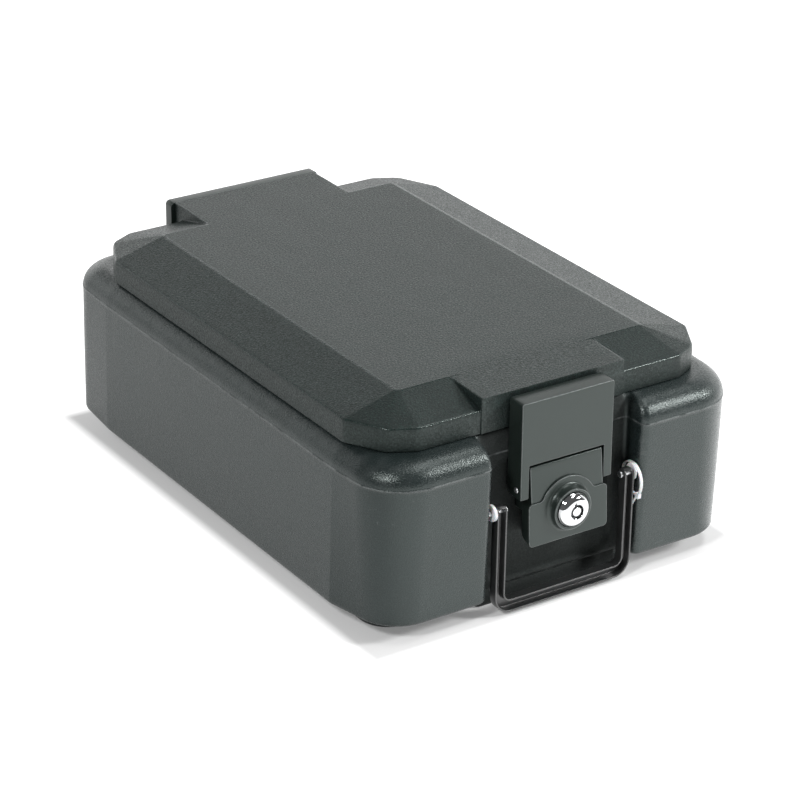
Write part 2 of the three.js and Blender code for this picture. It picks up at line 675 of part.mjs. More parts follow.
// Holes of one radius where screws and pins enter the base.
function baseHoles(clearance) {
  const screw = SCREW_RADIUS + clearance;
  const pin = BAIL_PIN_RADIUS + clearance;
  const deep = SCREW_BITE + clearance;
  const pinStart = FRONT_RECESS_HALF_WIDTH - CUT_PAST;
  const pinEnd = FRONT_RECESS_HALF_WIDTH + BAIL_PIN_INSET + clearance;
  const front = HOUSING_SCREWS.map(([x, z]) =>
    bar("y", screw, PANEL_FACE_Y - CUT_PAST, PANEL_FACE_Y + deep, x, z, SCREW_SEGMENTS),
  );
  const rear = BRACKET_SCREWS.map(([x, z]) =>
    bar("y", screw, RECESS_WALL_Y - deep, RECESS_WALL_Y + CUT_PAST, x, z, SCREW_SEGMENTS),
  );
  return joined([
    ...front,
    ...rear,
    bar("x", pin, pinStart, pinEnd, BAIL_Y, BAIL_Z),
    bar("x", pin, -pinEnd, -pinStart, BAIL_Y, BAIL_Z),
  ]);
}

// The stepped hole that the fill is poured through, opening at face height z. up is 1
// when the hole runs up from its face.
function fillHole([x, y], z, reach) {
  return bar("z", FILL_HOLE_RADIUS, z - 1, z + reach, x, y).add(
    bar("z", FILL_FLANGE_RADIUS, z - 1, z + FILL_FLANGE_DEPTH, x, y),
  );
}

function fillPlug(name, [x, y], z) {
  const body = bar(
    "z",
    FILL_HOLE_RADIUS - TOUCH_GAP,
    z + TOUCH_GAP,
    z + WALL,
    x,
    y,
  );
  const flange = bar(
    "z",
    FILL_FLANGE_RADIUS - TOUCH_GAP,
    z + TOUCH_GAP,
    z + FILL_FLANGE_DEPTH - TOUCH_GAP / 2,
    x,
    y,
  );
  return meshFrom(name, body.add(flange), plugPlastic);
}

function baseShell() {
  const outer = baseBlock(0, 4).add(plinthBlock(0));
  const hollow = baseBlock(WALL, 2)
    .add(plinthBlock(WALL))
    .subtract(roomBlock(WALL))
    .subtract(panelBlock(WALL));
  const shell = outer
    .subtract(roomBlock(0))
    .subtract(panelBlock(0))
    .subtract(hollow)
    .subtract(baseHoles(PIN_CLEARANCE))
    .subtract(fillHole(BASE_FILL_HOLE, 0, WALL + 1));
  return meshFrom("base_shell", shell, basePlastic);
}

function baseFill() {
  const inset = WALL + TOUCH_GAP;
  const fill = baseBlock(inset, 2)
    .add(plinthBlock(inset))
    .subtract(roomBlock(inset))
    .subtract(panelBlock(inset))
    .subtract(baseHoles(FILL_CLEARANCE));
  return meshFrom("base_fill", fill, fillMineral);
}

function lidSeal() {
  const foot = REBATE_FLOOR + TOUCH_GAP / 2;
  const ring = (grow) => (z) => ({
    points: rectangleOutline(
      -REBATE_HALF_WIDTH + SEAL_INSET + grow,
      REBATE_HALF_WIDTH - SEAL_INSET - grow,
      -REBATE_HALF_DEPTH + SEAL_INSET + grow,
      REBATE_HALF_DEPTH - SEAL_INSET - grow,
      REBATE_RADIUS - SEAL_INSET - grow,
      5,
    ),
    z,
  });
  const outside = ring(0);
  const inside = ring(SEAL_WIDTH);
  const seal = loft([
    outside(foot),
    outside(foot + SEAL_HEIGHT * 0.6),
    ring(1)(foot + SEAL_HEIGHT - TOUCH_GAP / 2),
  ]).subtract(loft([inside(foot - 1), inside(foot + SEAL_HEIGHT + 1)]));
  return meshFrom("lid_seal", seal, sealRubber);
}

// One ring of the lid's outline between the rim (share 0) and the crown (share 1).
function lidRing(share, inset) {
  const mix = THREE.MathUtils.lerp;
  const side = mix(RIM_HALF_WIDTH, CROWN_HALF_WIDTH, share) - inset;
  const corner = (edgeY, crownY) => {
    const cutY = edgeY - RIM_CUT_MID_IN_Y;
    const rimStartY = RIM_FRONT - RIM_CUT_SIDE;
    return [
      {
        x: side,
        y: mix(rimStartY, crownY - 1.6, share) - inset * 0.5,
        r: mix(8, 0.6, share),
        n: 2,
      },
      {
        x: mix(RIM_HALF_WIDTH - RIM_CUT_MID_IN_X, CROWN_HALF_WIDTH - 0.5, share) - inset * 0.9,
        y: mix(cutY, crownY - 0.5, share) - inset * 0.8,
        r: mix(14, 0.3, share),
        n: 3,
      },
      {
        x: mix(RIM_HALF_WIDTH - RIM_CUT_END, CROWN_HALF_WIDTH - 1.6, share) - inset * 0.5,
        y: mix(edgeY, crownY, share) - inset,
        r: mix(8, 0.6, share),
        n: 2,
      },
    ];
  };
  const front = corner(RIM_FRONT, CROWN_FRONT).map((c) => ({ ...c, y: -c.y }));
  const rear = corner(RIM_REAR, CROWN_REAR);
  const mirrored = (corners) => corners.map((c) => ({ ...c, x: -c.x }));
  return roundedOutline([
    ...front.slice().reverse(),
    ...rear,
    ...mirrored(rear).reverse(),
    ...mirrored(front),
  ]);
}

// A tongue's side view: from the crown out to its end face.
function tongue(halfWidth, side, endY, endTop, inset) {
  const foot = LID_FOOT + inset;
  const end = endY - inset;
  const round = 1.2;
  const crown = side > 0 ? CROWN_REAR : CROWN_FRONT;
  const points = [
    [side * (crown - TONGUE_ROOT), foot],
    [side * end, foot],
    [side * end, endTop - inset - round],
    [side * (end - round), endTop - inset],
    [side * (crown - 10), LID_TOP - inset],
    [side * (crown - TONGUE_ROOT), LID_TOP - inset],
  ];
  return acrossX(side > 0 ? points : points.reverse(), -halfWidth + inset, halfWidth - inset);
}

function lidBlock(inset) {
  const rim = loft([
    { points: lidRing(0, inset + 0.6), z: LID_FOOT + inset },
    { points: lidRing(0, inset), z: LID_FOOT + inset + 0.6 },
    { points: lidRing(0, inset), z: RIM_TOP - inset - 1.4 },
    { points: lidRing(0, inset + 1.8), z: RIM_TOP - inset },
    { points: lidRing(1, inset * 0.3), z: LID_TOP - inset - 0.3 },
    { points: lidRing(1, inset * 0.3 + 0.9), z: LID_TOP - inset },
  ]);
  return joined([
    rim,
    tongue(FRONT_TONGUE_HALF_WIDTH, -1, FRONT_TONGUE_Y, FRONT_TONGUE_TOP, inset),
    tongue(REAR_TONGUE_HALF_WIDTH, 1, REAR_TONGUE_Y, LID_TOP, inset),
  ]);
}

function strikePocket(grow) {
  return box(
    -STRIKE_HALF_WIDTH - grow,
    STRIKE_HALF_WIDTH + grow,
    -FRONT_TONGUE_Y - CUT_PAST,
    -FRONT_TONGUE_Y + STRIKE_DEPTH + grow,
    STRIKE_FOOT - grow,
    STRIKE_TOP + grow,
  );
}

function leafScrewHoles(clearance) {
  return joined(
    LEAF_SCREWS.map(([x, z]) =>
      bar(
        "y",
        SCREW_RADIUS + clearance,
        REAR_TONGUE_Y - SCREW_BITE - clearance,
        REAR_TONGUE_Y + CUT_PAST,
        x,
        z,
        SCREW_SEGMENTS,
      ),
    ),
  );
}

// The ring under the lid that drops into the base's rebate.
function lidRingBlock() {
  const ring = (run, z) => ({
    points: rectangleOutline(
      -REBATE_HALF_WIDTH + LID_RING_CLEARANCE + run,
      REBATE_HALF_WIDTH - LID_RING_CLEARANCE - run,
      -REBATE_HALF_DEPTH + LID_RING_CLEARANCE + run,
      REBATE_HALF_DEPTH - LID_RING_CLEARANCE - run,
      REBATE_RADIUS - LID_RING_CLEARANCE - run,
      5,
    ),
    z,
  });
  const edge = 0.8;
  const outside = loft([
    ring(edge, LID_RING_FOOT),
    ring(0, LID_RING_FOOT + edge),
    ring(0, LID_FOOT + 1),
  ]);
  const inside = loft([
    ring(LID_RING_WIDTH, LID_RING_FOOT - CUT_PAST),
    ring(LID_RING_WIDTH, LID_FOOT),
  ]);
  return outside.subtract(inside);
}

function lidShell() {
  const hollow = lidBlock(WALL).subtract(strikePocket(WALL));
  const shell = lidBlock(0)
    .subtract(hollow)
    .subtract(strikePocket(0))
    .add(lidRingBlock())
    .subtract(leafScrewHoles(PIN_CLEARANCE))
    .subtract(fillHole(LID_FILL_HOLE, LID_FOOT, WALL + 1));
  return meshFrom("lid_shell", shell, lidPlastic);
}

function lidFill() {
  const inset = WALL + TOUCH_GAP;
  const fill = lidBlock(inset).subtract(strikePocket(inset)).subtract(leafScrewHoles(FILL_CLEARANCE));
  return meshFrom("lid_fill", fill, fillMineral);
}

// A hex-socket screw along Y. side is the way its head faces.
function screw(name, x, z, headY, side, length) {
  const reach = (y) => headY - side * y;
  const points = [
    [0, reach(0)],
    [SCREW_HEAD_RADIUS - 0.5, reach(0)],
    [SCREW_HEAD_RADIUS, reach(0.5)],
    [SCREW_HEAD_RADIUS, reach(SCREW_HEAD_HEIGHT)],
    [SCREW_RADIUS, reach(SCREW_HEAD_HEIGHT)],
    [SCREW_RADIUS, reach(length)],
    [0, reach(length)],
  ];
  const body = turned(side > 0 ? points.reverse() : points, 0, SCREW_SEGMENTS);
  const socketEnds = [headY - side * SOCKET_DEPTH, headY + side * CUT_PAST];
  const socket = bar(
    "y",
    SOCKET_RADIUS,
    Math.min(...socketEnds),
    Math.max(...socketEnds),
    0,
    0,
    6,
  );
  return meshFrom(name, body.subtract(socket).translate([x, 0, z]), steel);
}

function countersink(places, headY, side) {
  const depth = SCREW_HEAD_HEIGHT + TOUCH_GAP;
  const from = side > 0 ? headY - depth : headY - CUT_PAST;
  const to = side > 0 ? headY + CUT_PAST : headY + depth;
  const radius = SCREW_HEAD_RADIUS + TOUCH_GAP;
  return joined(
    places.map(([x, z]) => bar("y", radius, from, to, x, z, SCREW_SEGMENTS)),
  );
}

function screwHolesThrough(places, from, to) {
  const radius = SCREW_RADIUS + PIN_CLEARANCE;
  return joined(
    places.map(([x, z]) => bar("y", radius, from, to, x, z, SCREW_SEGMENTS)),
  );
}

function hingeBore() {
  const half = HINGE_LEAF_HALF_WIDTH + CUT_PAST;
  return bar("x", HINGE_ROD_RADIUS + PIN_CLEARANCE, -half, half, HINGE_Y, HINGE_Z);
}

function hingePlate() {
  const outline = (run) =>
    roundedOutline([
      { x: -HINGE_LEAF_HALF_WIDTH + run, y: HINGE_LEAF_FOOT + run, r: 1.5, n: 2 },
      { x: HINGE_LEAF_HALF_WIDTH - run, y: HINGE_LEAF_FOOT + run, r: 1.5, n: 2 },
      { x: HINGE_LEAF_HALF_WIDTH - run, y: LID_TOP - run, r: 3, n: 3 },
      { x: -HINGE_LEAF_HALF_WIDTH + run, y: LID_TOP - run, r: 3, n: 3 },
    ]);
  const leaf = loft([
    { points: outline(0), z: -LEAF_REAR_Y + 0.8 },
    { points: outline(0), z: -LEAF_FRONT_Y },
  ]).add(
    loft([
      { points: outline(0.8), z: -LEAF_REAR_Y },
      { points: outline(0), z: -LEAF_REAR_Y + 0.8 },
    ]),
  );
  const knuckles = LID_KNUCKLES.map(([x0, x1]) =>
    bar("x", HINGE_KNUCKLE_RADIUS, x0, x1, HINGE_Y, HINGE_Z).add(
      box(x0, x1, LEAF_FRONT_Y + 0.1, LEAF_REAR_Y - 0.1, HINGE_Z, HINGE_LEAF_FOOT + 2),
    ),
  );
  const plate = joined([leaf.rotate([90, 0, 0]), ...knuckles])
    .subtract(hingeBore())
    .subtract(screwHolesThrough(LEAF_SCREWS, LEAF_FRONT_Y - 1, LEAF_REAR_Y + 1))
    .subtract(countersink(LEAF_SCREWS, LEAF_REAR_Y, 1));
  return meshFrom("hinge_plate", plate, latchPlastic);
}

function hingeBracket() {
  const plate = box(
    -BRACKET_HALF_WIDTH,
    BRACKET_HALF_WIDTH,
    BRACKET_FRONT_Y,
    BRACKET_REAR_Y,
    BRACKET_FOOT,
    BRACKET_TOP,
  );
  const arms = BASE_KNUCKLES.map(([x0, x1]) =>
    acrossX(
      [
        [BRACKET_REAR_Y - 1, HINGE_Z - ARM_FOOT_UNDER_HINGE],
        [BRACKET_REAR_Y + ARM_BEND_REACH, HINGE_Z - ARM_BEND_UNDER_HINGE],
        [HINGE_Y, HINGE_Z - HINGE_KNUCKLE_RADIUS + 0.1],
        [HINGE_Y, HINGE_Z + HINGE_KNUCKLE_RADIUS - 0.1],
        [BRACKET_REAR_Y - 1, BRACKET_TOP],
      ],
      x0,
      x1,
    ).add(bar("x", HINGE_KNUCKLE_RADIUS, x0, x1, HINGE_Y, HINGE_Z)),
  );
  const bracket = joined([plate, ...arms])
    .subtract(hingeBore())
    .subtract(screwHolesThrough(BRACKET_SCREWS, BRACKET_FRONT_Y - 1, BRACKET_REAR_Y + 1));
  return meshFrom("hinge_bracket", bracket, latchPlastic);
}

function hingeRod() {
  const half = HINGE_ROD_HALF_LENGTH;
  const rod = bar("x", HINGE_ROD_RADIUS, -half, half, HINGE_Y, HINGE_Z);
  return meshFrom("hinge_rod", rod, steel);
}

function leverOutline(run) {
  const notch = LEVER_NOTCH_HALF_WIDTH + run;
  const outer = LEVER_HALF_WIDTH - run;
  const foot = LEVER_FOOT + run;
  return roundedOutline([
    { x: -outer, y: foot, r: 1, n: 1 },
    { x: -notch, y: foot, r: 1, n: 1 },
    { x: -notch, y: LEVER_NOTCH_TOP + run, r: 0.5, n: 1 },
    { x: notch, y: LEVER_NOTCH_TOP + run, r: 0.5, n: 1 },
    { x: notch, y: foot, r: 1, n: 1 },
    { x: outer, y: foot, r: 1, n: 1 },
    { x: outer, y: LEVER_TOP - run, r: 1.5, n: 2 },
    { x: -outer, y: LEVER_TOP - run, r: 1.5, n: 2 },
  ]);
}

function latchPinBore() {
  const half = LEVER_HALF_WIDTH + CUT_PAST;
  return bar("x", LATCH_PIN_RADIUS + PIN_CLEARANCE, -half, half, PIN_Y, PIN_Z);
}

function latchLever() {
  const slope = (LEVER_FRONT_TOP_Y - LEVER_FRONT_FOOT_Y) / (LEVER_TOP - LEVER_FOOT);
  const frontY = (z) => LEVER_FRONT_FOOT_Y + slope * (z - LEVER_FOOT);
  const r = LEVER_HEEL_RADIUS;
  const heel = [
    [LEVER_REAR_Y + 1, LEVER_FOOT - 1],
    [LEVER_REAR_Y + 1, LEVER_FOOT + r],
    [LEVER_REAR_Y, LEVER_FOOT + r],
    [LEVER_REAR_Y - r * 0.134, LEVER_FOOT + r * 0.5],
    [LEVER_REAR_Y - r * 0.5, LEVER_FOOT + r * 0.134],
    [LEVER_REAR_Y - r, LEVER_FOOT],
    [LEVER_REAR_Y - r, LEVER_FOOT - 1],
  ];
  const tooth = acrossX(
    [
      [LEVER_REAR_Y - 0.5, TOOTH_FOOT - 1],
      [-FRONT_TONGUE_Y - TOUCH_GAP, TOOTH_FOOT + 0.7],
      [-FRONT_TONGUE_Y - TOUCH_GAP, TOOTH_TOP - 0.4],
      [LEVER_REAR_Y - 0.5, TOOTH_TOP],
    ],
    -TOOTH_HALF_WIDTH,
    TOOTH_HALF_WIDTH,
  );
  const lever = facePlate(leverOutline, frontY, LEVER_REAR_Y, LEVER_EDGE)
    .subtract(acrossX(heel, -LEVER_HALF_WIDTH - 1, LEVER_HALF_WIDTH + 1))
    .add(tooth)
    .subtract(latchPinBore());
  return meshFrom("latch_lever", lever, latchPlastic);
}

function latchPin() {
  const half = LEVER_HALF_WIDTH - 0.2;
  const pin = bar("x", LATCH_PIN_RADIUS, -half, half, PIN_Y, PIN_Z);
  return meshFrom("latch_pin", pin, steel);
}

function barrelBore() {
  const radius = LOCK_BARREL_RADIUS + PIN_CLEARANCE;
  return bar("y", radius, LOCK_FACE_Y - CUT_PAST, PANEL_FACE_Y, 0, LOCK_Z, 32);
}

function lockHousing() {
  const r = HOUSING_HEEL_RADIUS;
  const side = [
    [HOUSING_FRONT_Y, HOUSING_FOOT],
    [HOUSING_REAR_Y - r, HOUSING_FOOT],
    [HOUSING_REAR_Y - r * 0.5, HOUSING_FOOT + r * 0.3],
    [HOUSING_REAR_Y - r * 0.134, HOUSING_FOOT + r],
    [HOUSING_REAR_Y, HOUSING_FOOT + r * 2],
    [HOUSING_REAR_Y, HOUSING_TOP - 1],
    [HOUSING_REAR_Y - 1, HOUSING_TOP],
    [HOUSING_FRONT_Y + 0.7, HOUSING_TOP],
    [HOUSING_FRONT_Y, HOUSING_TOP - 0.7],
  ];
  const body = acrossX(side, -HOUSING_HALF_WIDTH, HOUSING_HALF_WIDTH);
  const mountRear = PANEL_FACE_Y - TOUCH_GAP;
  const mount = (halfWidth, foot, top) =>
    box(-halfWidth, halfWidth, POCKET_FRONT_Y, mountRear, foot, top);
  const block = joined([
    body,
    mount(MOUNT_WIDE_HALF_WIDTH, MOUNT_STEP, MOUNT_TOP),
    mount(MOUNT_HALF_WIDTH, MOUNT_FOOT, MOUNT_STEP + 1),
  ]);
  const pocket = box(
    -POCKET_HALF_WIDTH,
    POCKET_HALF_WIDTH,
    POCKET_FRONT_Y,
    PANEL_FACE_Y + CUT_PAST,
    LOCK_Z - POCKET_HALF_HEIGHT,
    LOCK_Z + POCKET_HALF_HEIGHT,
  );
  const housing = block
    .subtract(pocket)
    .subtract(latchPinBore())
    .subtract(barrelBore())
    .subtract(screwHolesThrough(HOUSING_SCREWS, COVER_FRONT_Y, PANEL_FACE_Y + CUT_PAST))
    .subtract(countersink(HOUSING_SCREWS, HOUSING_FRONT_Y, -1));
  return meshFrom("lock_housing", housing, latchPlastic);
}

function coverOutline(run) {
  const arch = COVER_ARCH_RADIUS - run;
  const half = COVER_HALF_WIDTH - run;
  const top = COVER_TOP - run;
  const foot = COVER_FOOT + run;
  const meet = Math.asin((COVER_TOP - LOCK_Z) / COVER_ARCH_RADIUS);
  const corners = roundedOutline([
    { x: -half, y: foot, r: COVER_RADIUS, n: 3 },
    { x: half, y: foot, r: COVER_RADIUS, n: 3 },
    { x: half, y: top, r: COVER_RADIUS, n: 3 },
    { x: -half, y: top, r: COVER_RADIUS, n: 3 },
  ]);
  const archPoints = [];
  const steps = 14;
  for (let i = 0; i <= steps; i += 1) {
    const angle = meet + ((Math.PI - 2 * meet) * i) / steps;
    archPoints.push(
      new THREE.Vector2(arch * Math.cos(angle), Math.max(top, LOCK_Z + arch * Math.sin(angle))),
    );
  }
  return [...corners.slice(0, 12), ...archPoints, ...corners.slice(12)];
}

function lockCover() {
  const plate = facePlate(
    coverOutline,
    COVER_FRONT_Y,
    HOUSING_FRONT_Y - TOUCH_GAP,
    COVER_EDGE,
  );
  const boss = turned(
    [
      [0, BOSS_LIP_Y],
      [BOSS_LIP_RADIUS - 1, BOSS_LIP_Y],
      [BOSS_LIP_RADIUS, BOSS_LIP_Y + 0.8],
      [BOSS_LIP_RADIUS + 1.4, BOSS_LIP_Y + 2.2],
      [BOSS_BASE_RADIUS - 2.6, COVER_FRONT_Y - 0.8],
      [BOSS_BASE_RADIUS, COVER_FRONT_Y],
      [BOSS_BASE_RADIUS, COVER_FRONT_Y + 1],
      [0, COVER_FRONT_Y + 1],
    ],
    LOCK_Z,
    40,
  );
  const seat = turned(
    [
      [0, BOSS_LIP_Y - CUT_PAST],
      [LOCK_HEAD_RADIUS + 1.2, BOSS_LIP_Y - CUT_PAST],
      [LOCK_HEAD_RADIUS + 0.5, BOSS_SEAT_Y],
      [LOCK_BARREL_RADIUS + PIN_CLEARANCE, BOSS_SEAT_Y],
      [LOCK_BARREL_RADIUS + PIN_CLEARANCE, HOUSING_FRONT_Y + CUT_PAST],
      [0, HOUSING_FRONT_Y + CUT_PAST],
    ],
    LOCK_Z,
    32,
  );
  return meshFrom("lock_cover", plate.add(boss).subtract(seat), latchPlastic);
}

function keywayNotch() {
  const notch = box(
    -NOTCH_HALF_WIDTH,
    NOTCH_HALF_WIDTH,
    LOCK_FACE_Y - CUT_PAST,
    LOCK_FACE_Y + KEYWAY_DEPTH,
    PLUG_RADIUS - 1,
    PLUG_RADIUS + NOTCH_REACH,
  );
  return notch.rotate([0, NOTCH_TURN, 0]).translate([0, 0, LOCK_Z]);
}

function plugBore() {
  const radius = PLUG_RADIUS + PIN_CLEARANCE;
  return bar("y", radius, LOCK_FACE_Y - CUT_PAST, PANEL_FACE_Y, 0, LOCK_Z, 32);
}

function lockBody() {
  const headBack = BOSS_SEAT_Y - TOUCH_GAP;
  const body = turned(
    [
      [0, LOCK_FACE_Y],
      [LOCK_FACE_RADIUS, LOCK_FACE_Y],
      [LOCK_FACE_RADIUS + 1.6, LOCK_FACE_Y + 0.7],
      [LOCK_HEAD_RADIUS - 1, LOCK_FACE_Y + 2],
      [LOCK_HEAD_RADIUS, LOCK_FACE_Y + 3.6],
      [LOCK_HEAD_RADIUS, headBack],
      [LOCK_BARREL_RADIUS, headBack],
      [LOCK_BARREL_RADIUS, LOCK_BARREL_END_Y],
      [0, LOCK_BARREL_END_Y],
    ],
    LOCK_Z,
    32,
  )
    .subtract(plugBore())
    .subtract(keywayNotch());
  return meshFrom("lock_body", body, chrome);
}

function camScrewBore() {
  const start = PLUG_END_Y - CAM_SCREW_DEPTH - TOUCH_GAP;
  const radius = CAM_SCREW_RADIUS + TOUCH_GAP / 2;
  return bar("y", radius, start, PLUG_END_Y + CUT_PAST, 0, LOCK_Z, 16);
}

function lockPlug() {
  const shoulder = LOCK_FACE_Y + KEYWAY_DEPTH;
  const plug = turned(
    [
      [0, LOCK_FACE_Y + 0.3],
      [PLUG_POST_RADIUS - 0.3, LOCK_FACE_Y + 0.3],
      [PLUG_POST_RADIUS, LOCK_FACE_Y + 0.6],
      [PLUG_POST_RADIUS, shoulder],
      [PLUG_RADIUS, shoulder],
      [PLUG_RADIUS, LOCK_BARREL_END_Y + 0.4],
      [PLUG_NECK_RADIUS, LOCK_BARREL_END_Y + 0.4],
      [PLUG_NECK_RADIUS, PLUG_END_Y],
      [0, PLUG_END_Y],
    ],
    LOCK_Z,
    32,
  ).subtract(camScrewBore());
  return meshFrom("lock_plug", plug, chrome);
}

function lockNut() {
  const front = POCKET_FRONT_Y + TOUCH_GAP;
  const nut = bar("y", NUT_RADIUS, front, front + NUT_THICKNESS, 0, LOCK_Z, 6).subtract(
    barrelBore(),
  );
  return meshFrom("lock_nut", nut, steel);
}

function lockCam() {
  const front = LOCK_BARREL_END_Y + CAM_GAP;
  const outline = roundedOutline([
    { x: -CAM_HALF_WIDTH, y: -CAM_HEEL, r: 4, n: 4 },
    { x: CAM_HALF_WIDTH, y: -CAM_HEEL, r: 4, n: 4 },
    { x: CAM_HALF_WIDTH, y: CAM_REACH, r: 2, n: 3 },
    { x: -CAM_HALF_WIDTH, y: CAM_REACH, r: 2, n: 3 },
  ]);
  const neck = PLUG_NECK_RADIUS + TOUCH_GAP / 2;
  const cam = loft([
    { points: outline, z: -front - CAM_THICKNESS },
    { points: outline, z: -front },
  ])
    .rotate([90, 0, 0])
    .translate([0, 0, LOCK_Z])
    .subtract(bar("y", neck, POCKET_FRONT_Y, PANEL_FACE_Y, 0, LOCK_Z, 32));
  return meshFrom("lock_cam", cam, steel);
}

function camScrew() {
  const head = turned(
    [
      [0, PLUG_END_Y - CAM_SCREW_DEPTH],
      [CAM_SCREW_RADIUS, PLUG_END_Y - CAM_SCREW_DEPTH],
      [CAM_SCREW_RADIUS, PLUG_END_Y + TOUCH_GAP],
      [CAM_SCREW_HEAD_RADIUS, PLUG_END_Y + TOUCH_GAP],
      [CAM_SCREW_HEAD_RADIUS, PLUG_END_Y + 1.6],
      [CAM_SCREW_HEAD_RADIUS - 1, PLUG_END_Y + 2.2],
      [0, PLUG_END_Y + 2.2],
    ],
    LOCK_Z,
    16,
  );
  return meshFrom("cam_screw", head, steel);
}

// The bail's front view, drawn in by a run: a U with round upper ends.
function bailOutline(run) {
  const outer = BAIL_HALF_WIDTH - run;
  const inner = BAIL_INNER_HALF_WIDTH + run;
  const foot = BAIL_FOOT + run;
  const innerFoot = BAIL_INNER_FOOT - run;
  const top = BAIL_Z + BAIL_EAR - run;
  const outerRadius = BAIL_CORNER - run;
  const innerRadius = BAIL_CORNER - BAIL_ARM_WIDTH + run;
  return roundedOutline([
    { x: -outer, y: foot, r: outerRadius, n: 6 },
    { x: outer, y: foot, r: outerRadius, n: 6 },
    { x: outer, y: top, r: BAIL_TIP, n: 2 },
    { x: inner, y: top, r: BAIL_TIP, n: 2 },
    { x: inner, y: innerFoot, r: innerRadius, n: 5 },
    { x: -inner, y: innerFoot, r: innerRadius, n: 5 },
    { x: -inner, y: top, r: BAIL_TIP, n: 2 },
    { x: -outer, y: top, r: BAIL_TIP, n: 2 },
  ]);
}

function bailHandle() {
  const body = loft([
    { points: bailOutline(BAIL_EDGE), z: -BAIL_REAR_Y },
    { points: bailOutline(0), z: -BAIL_REAR_Y + BAIL_EDGE },
    { points: bailOutline(0), z: -BAIL_FRONT_Y },
  ]);
  const channel = loft([
    { points: bailOutline(BAIL_SHEET), z: -BAIL_REAR_Y + BAIL_SHEET },
    { points: bailOutline(BAIL_SHEET), z: -BAIL_FRONT_Y + CUT_PAST },
  ]);
  const topCorner = [
    [BAIL_FRONT_Y - 1, BAIL_Z + BAIL_EAR + 1],
    [BAIL_FRONT_Y - 1, BAIL_Z + BAIL_EAR - BAIL_TRIM_HEIGHT],
    [BAIL_FRONT_Y, BAIL_Z + BAIL_EAR - BAIL_TRIM_HEIGHT],
    [BAIL_FRONT_Y + BAIL_TRIM_SWELL_DEPTH, BAIL_Z + BAIL_EAR - BAIL_TRIM_SWELL_HEIGHT],
    [BAIL_FRONT_Y + BAIL_TRIM_DEPTH, BAIL_Z + BAIL_EAR],
    [BAIL_FRONT_Y + BAIL_TRIM_DEPTH, BAIL_Z + BAIL_EAR + 1],
  ];
  const past = BAIL_HALF_WIDTH + CUT_PAST;
  const bail = body
    .subtract(channel)
    .rotate([90, 0, 0])
    .subtract(acrossX(topCorner.reverse(), -past, past))
    .subtract(bar("x", BAIL_PIN_RADIUS + PIN_CLEARANCE, -past, past, BAIL_Y, BAIL_Z));
  return meshFrom("bail_handle", bail, blackPaint);
}

function bailPin(name, side) {
  const head = BAIL_INNER_HALF_WIDTH - TOUCH_GAP;
  const end = FRONT_RECESS_HALF_WIDTH + BAIL_PIN_INSET;
  const shank = bar("x", BAIL_PIN_RADIUS, head - BAIL_PIN_HEAD / 2, end, BAIL_Y, BAIL_Z);
  const cap = bar("x", BAIL_PIN_HEAD_RADIUS, head - BAIL_PIN_HEAD, head, BAIL_Y, BAIL_Z);
  const pin = shank.add(cap);
  return meshFrom(name, side > 0 ? pin : pin.mirror([1, 0, 0]), steel);
}

function bailWasher(name, side, thickness) {
  const near = BAIL_HALF_WIDTH + TOUCH_GAP;
  const washer = bar(
    "x",
    WASHER_RADIUS,
    near,
    near + thickness,
    BAIL_Y,
    BAIL_Z,
  ).subtract(
    bar(
      "x",
      BAIL_PIN_RADIUS + PIN_CLEARANCE,
      near - CUT_PAST,
      near + thickness + CUT_PAST,
      BAIL_Y,
      BAIL_Z,
    ),
  );
  return meshFrom(name, side > 0 ? washer : washer.mirror([1, 0, 0]), chrome);
}

// The strap's closed loop hangs on the pin: its middle line in side view, as (y, z)
// steps from the pin.
const TIE_LOOP = [
  [-5.4, -15.8],
  [-8.4, -10.7],
  [-8.6, -4.2],
  [-5.7, 1.7],
  [-0.8, 5],
  [5.4, 4.8],
  [10, 1],
  [11, -5.2],
  [8.2, -11.4],
  [2.6, -15.2],
].map(([y, z]) => [BAIL_Y + y, BAIL_Z + z]);
const TIE_HEAD = [BAIL_Y - TIE_HEAD_FORWARD, BAIL_Z - TIE_HEAD_DROP];
const TIE_TAIL = [BAIL_Y + TIE_TAIL_BACK, BAIL_Z - TIE_TAIL_DROP];

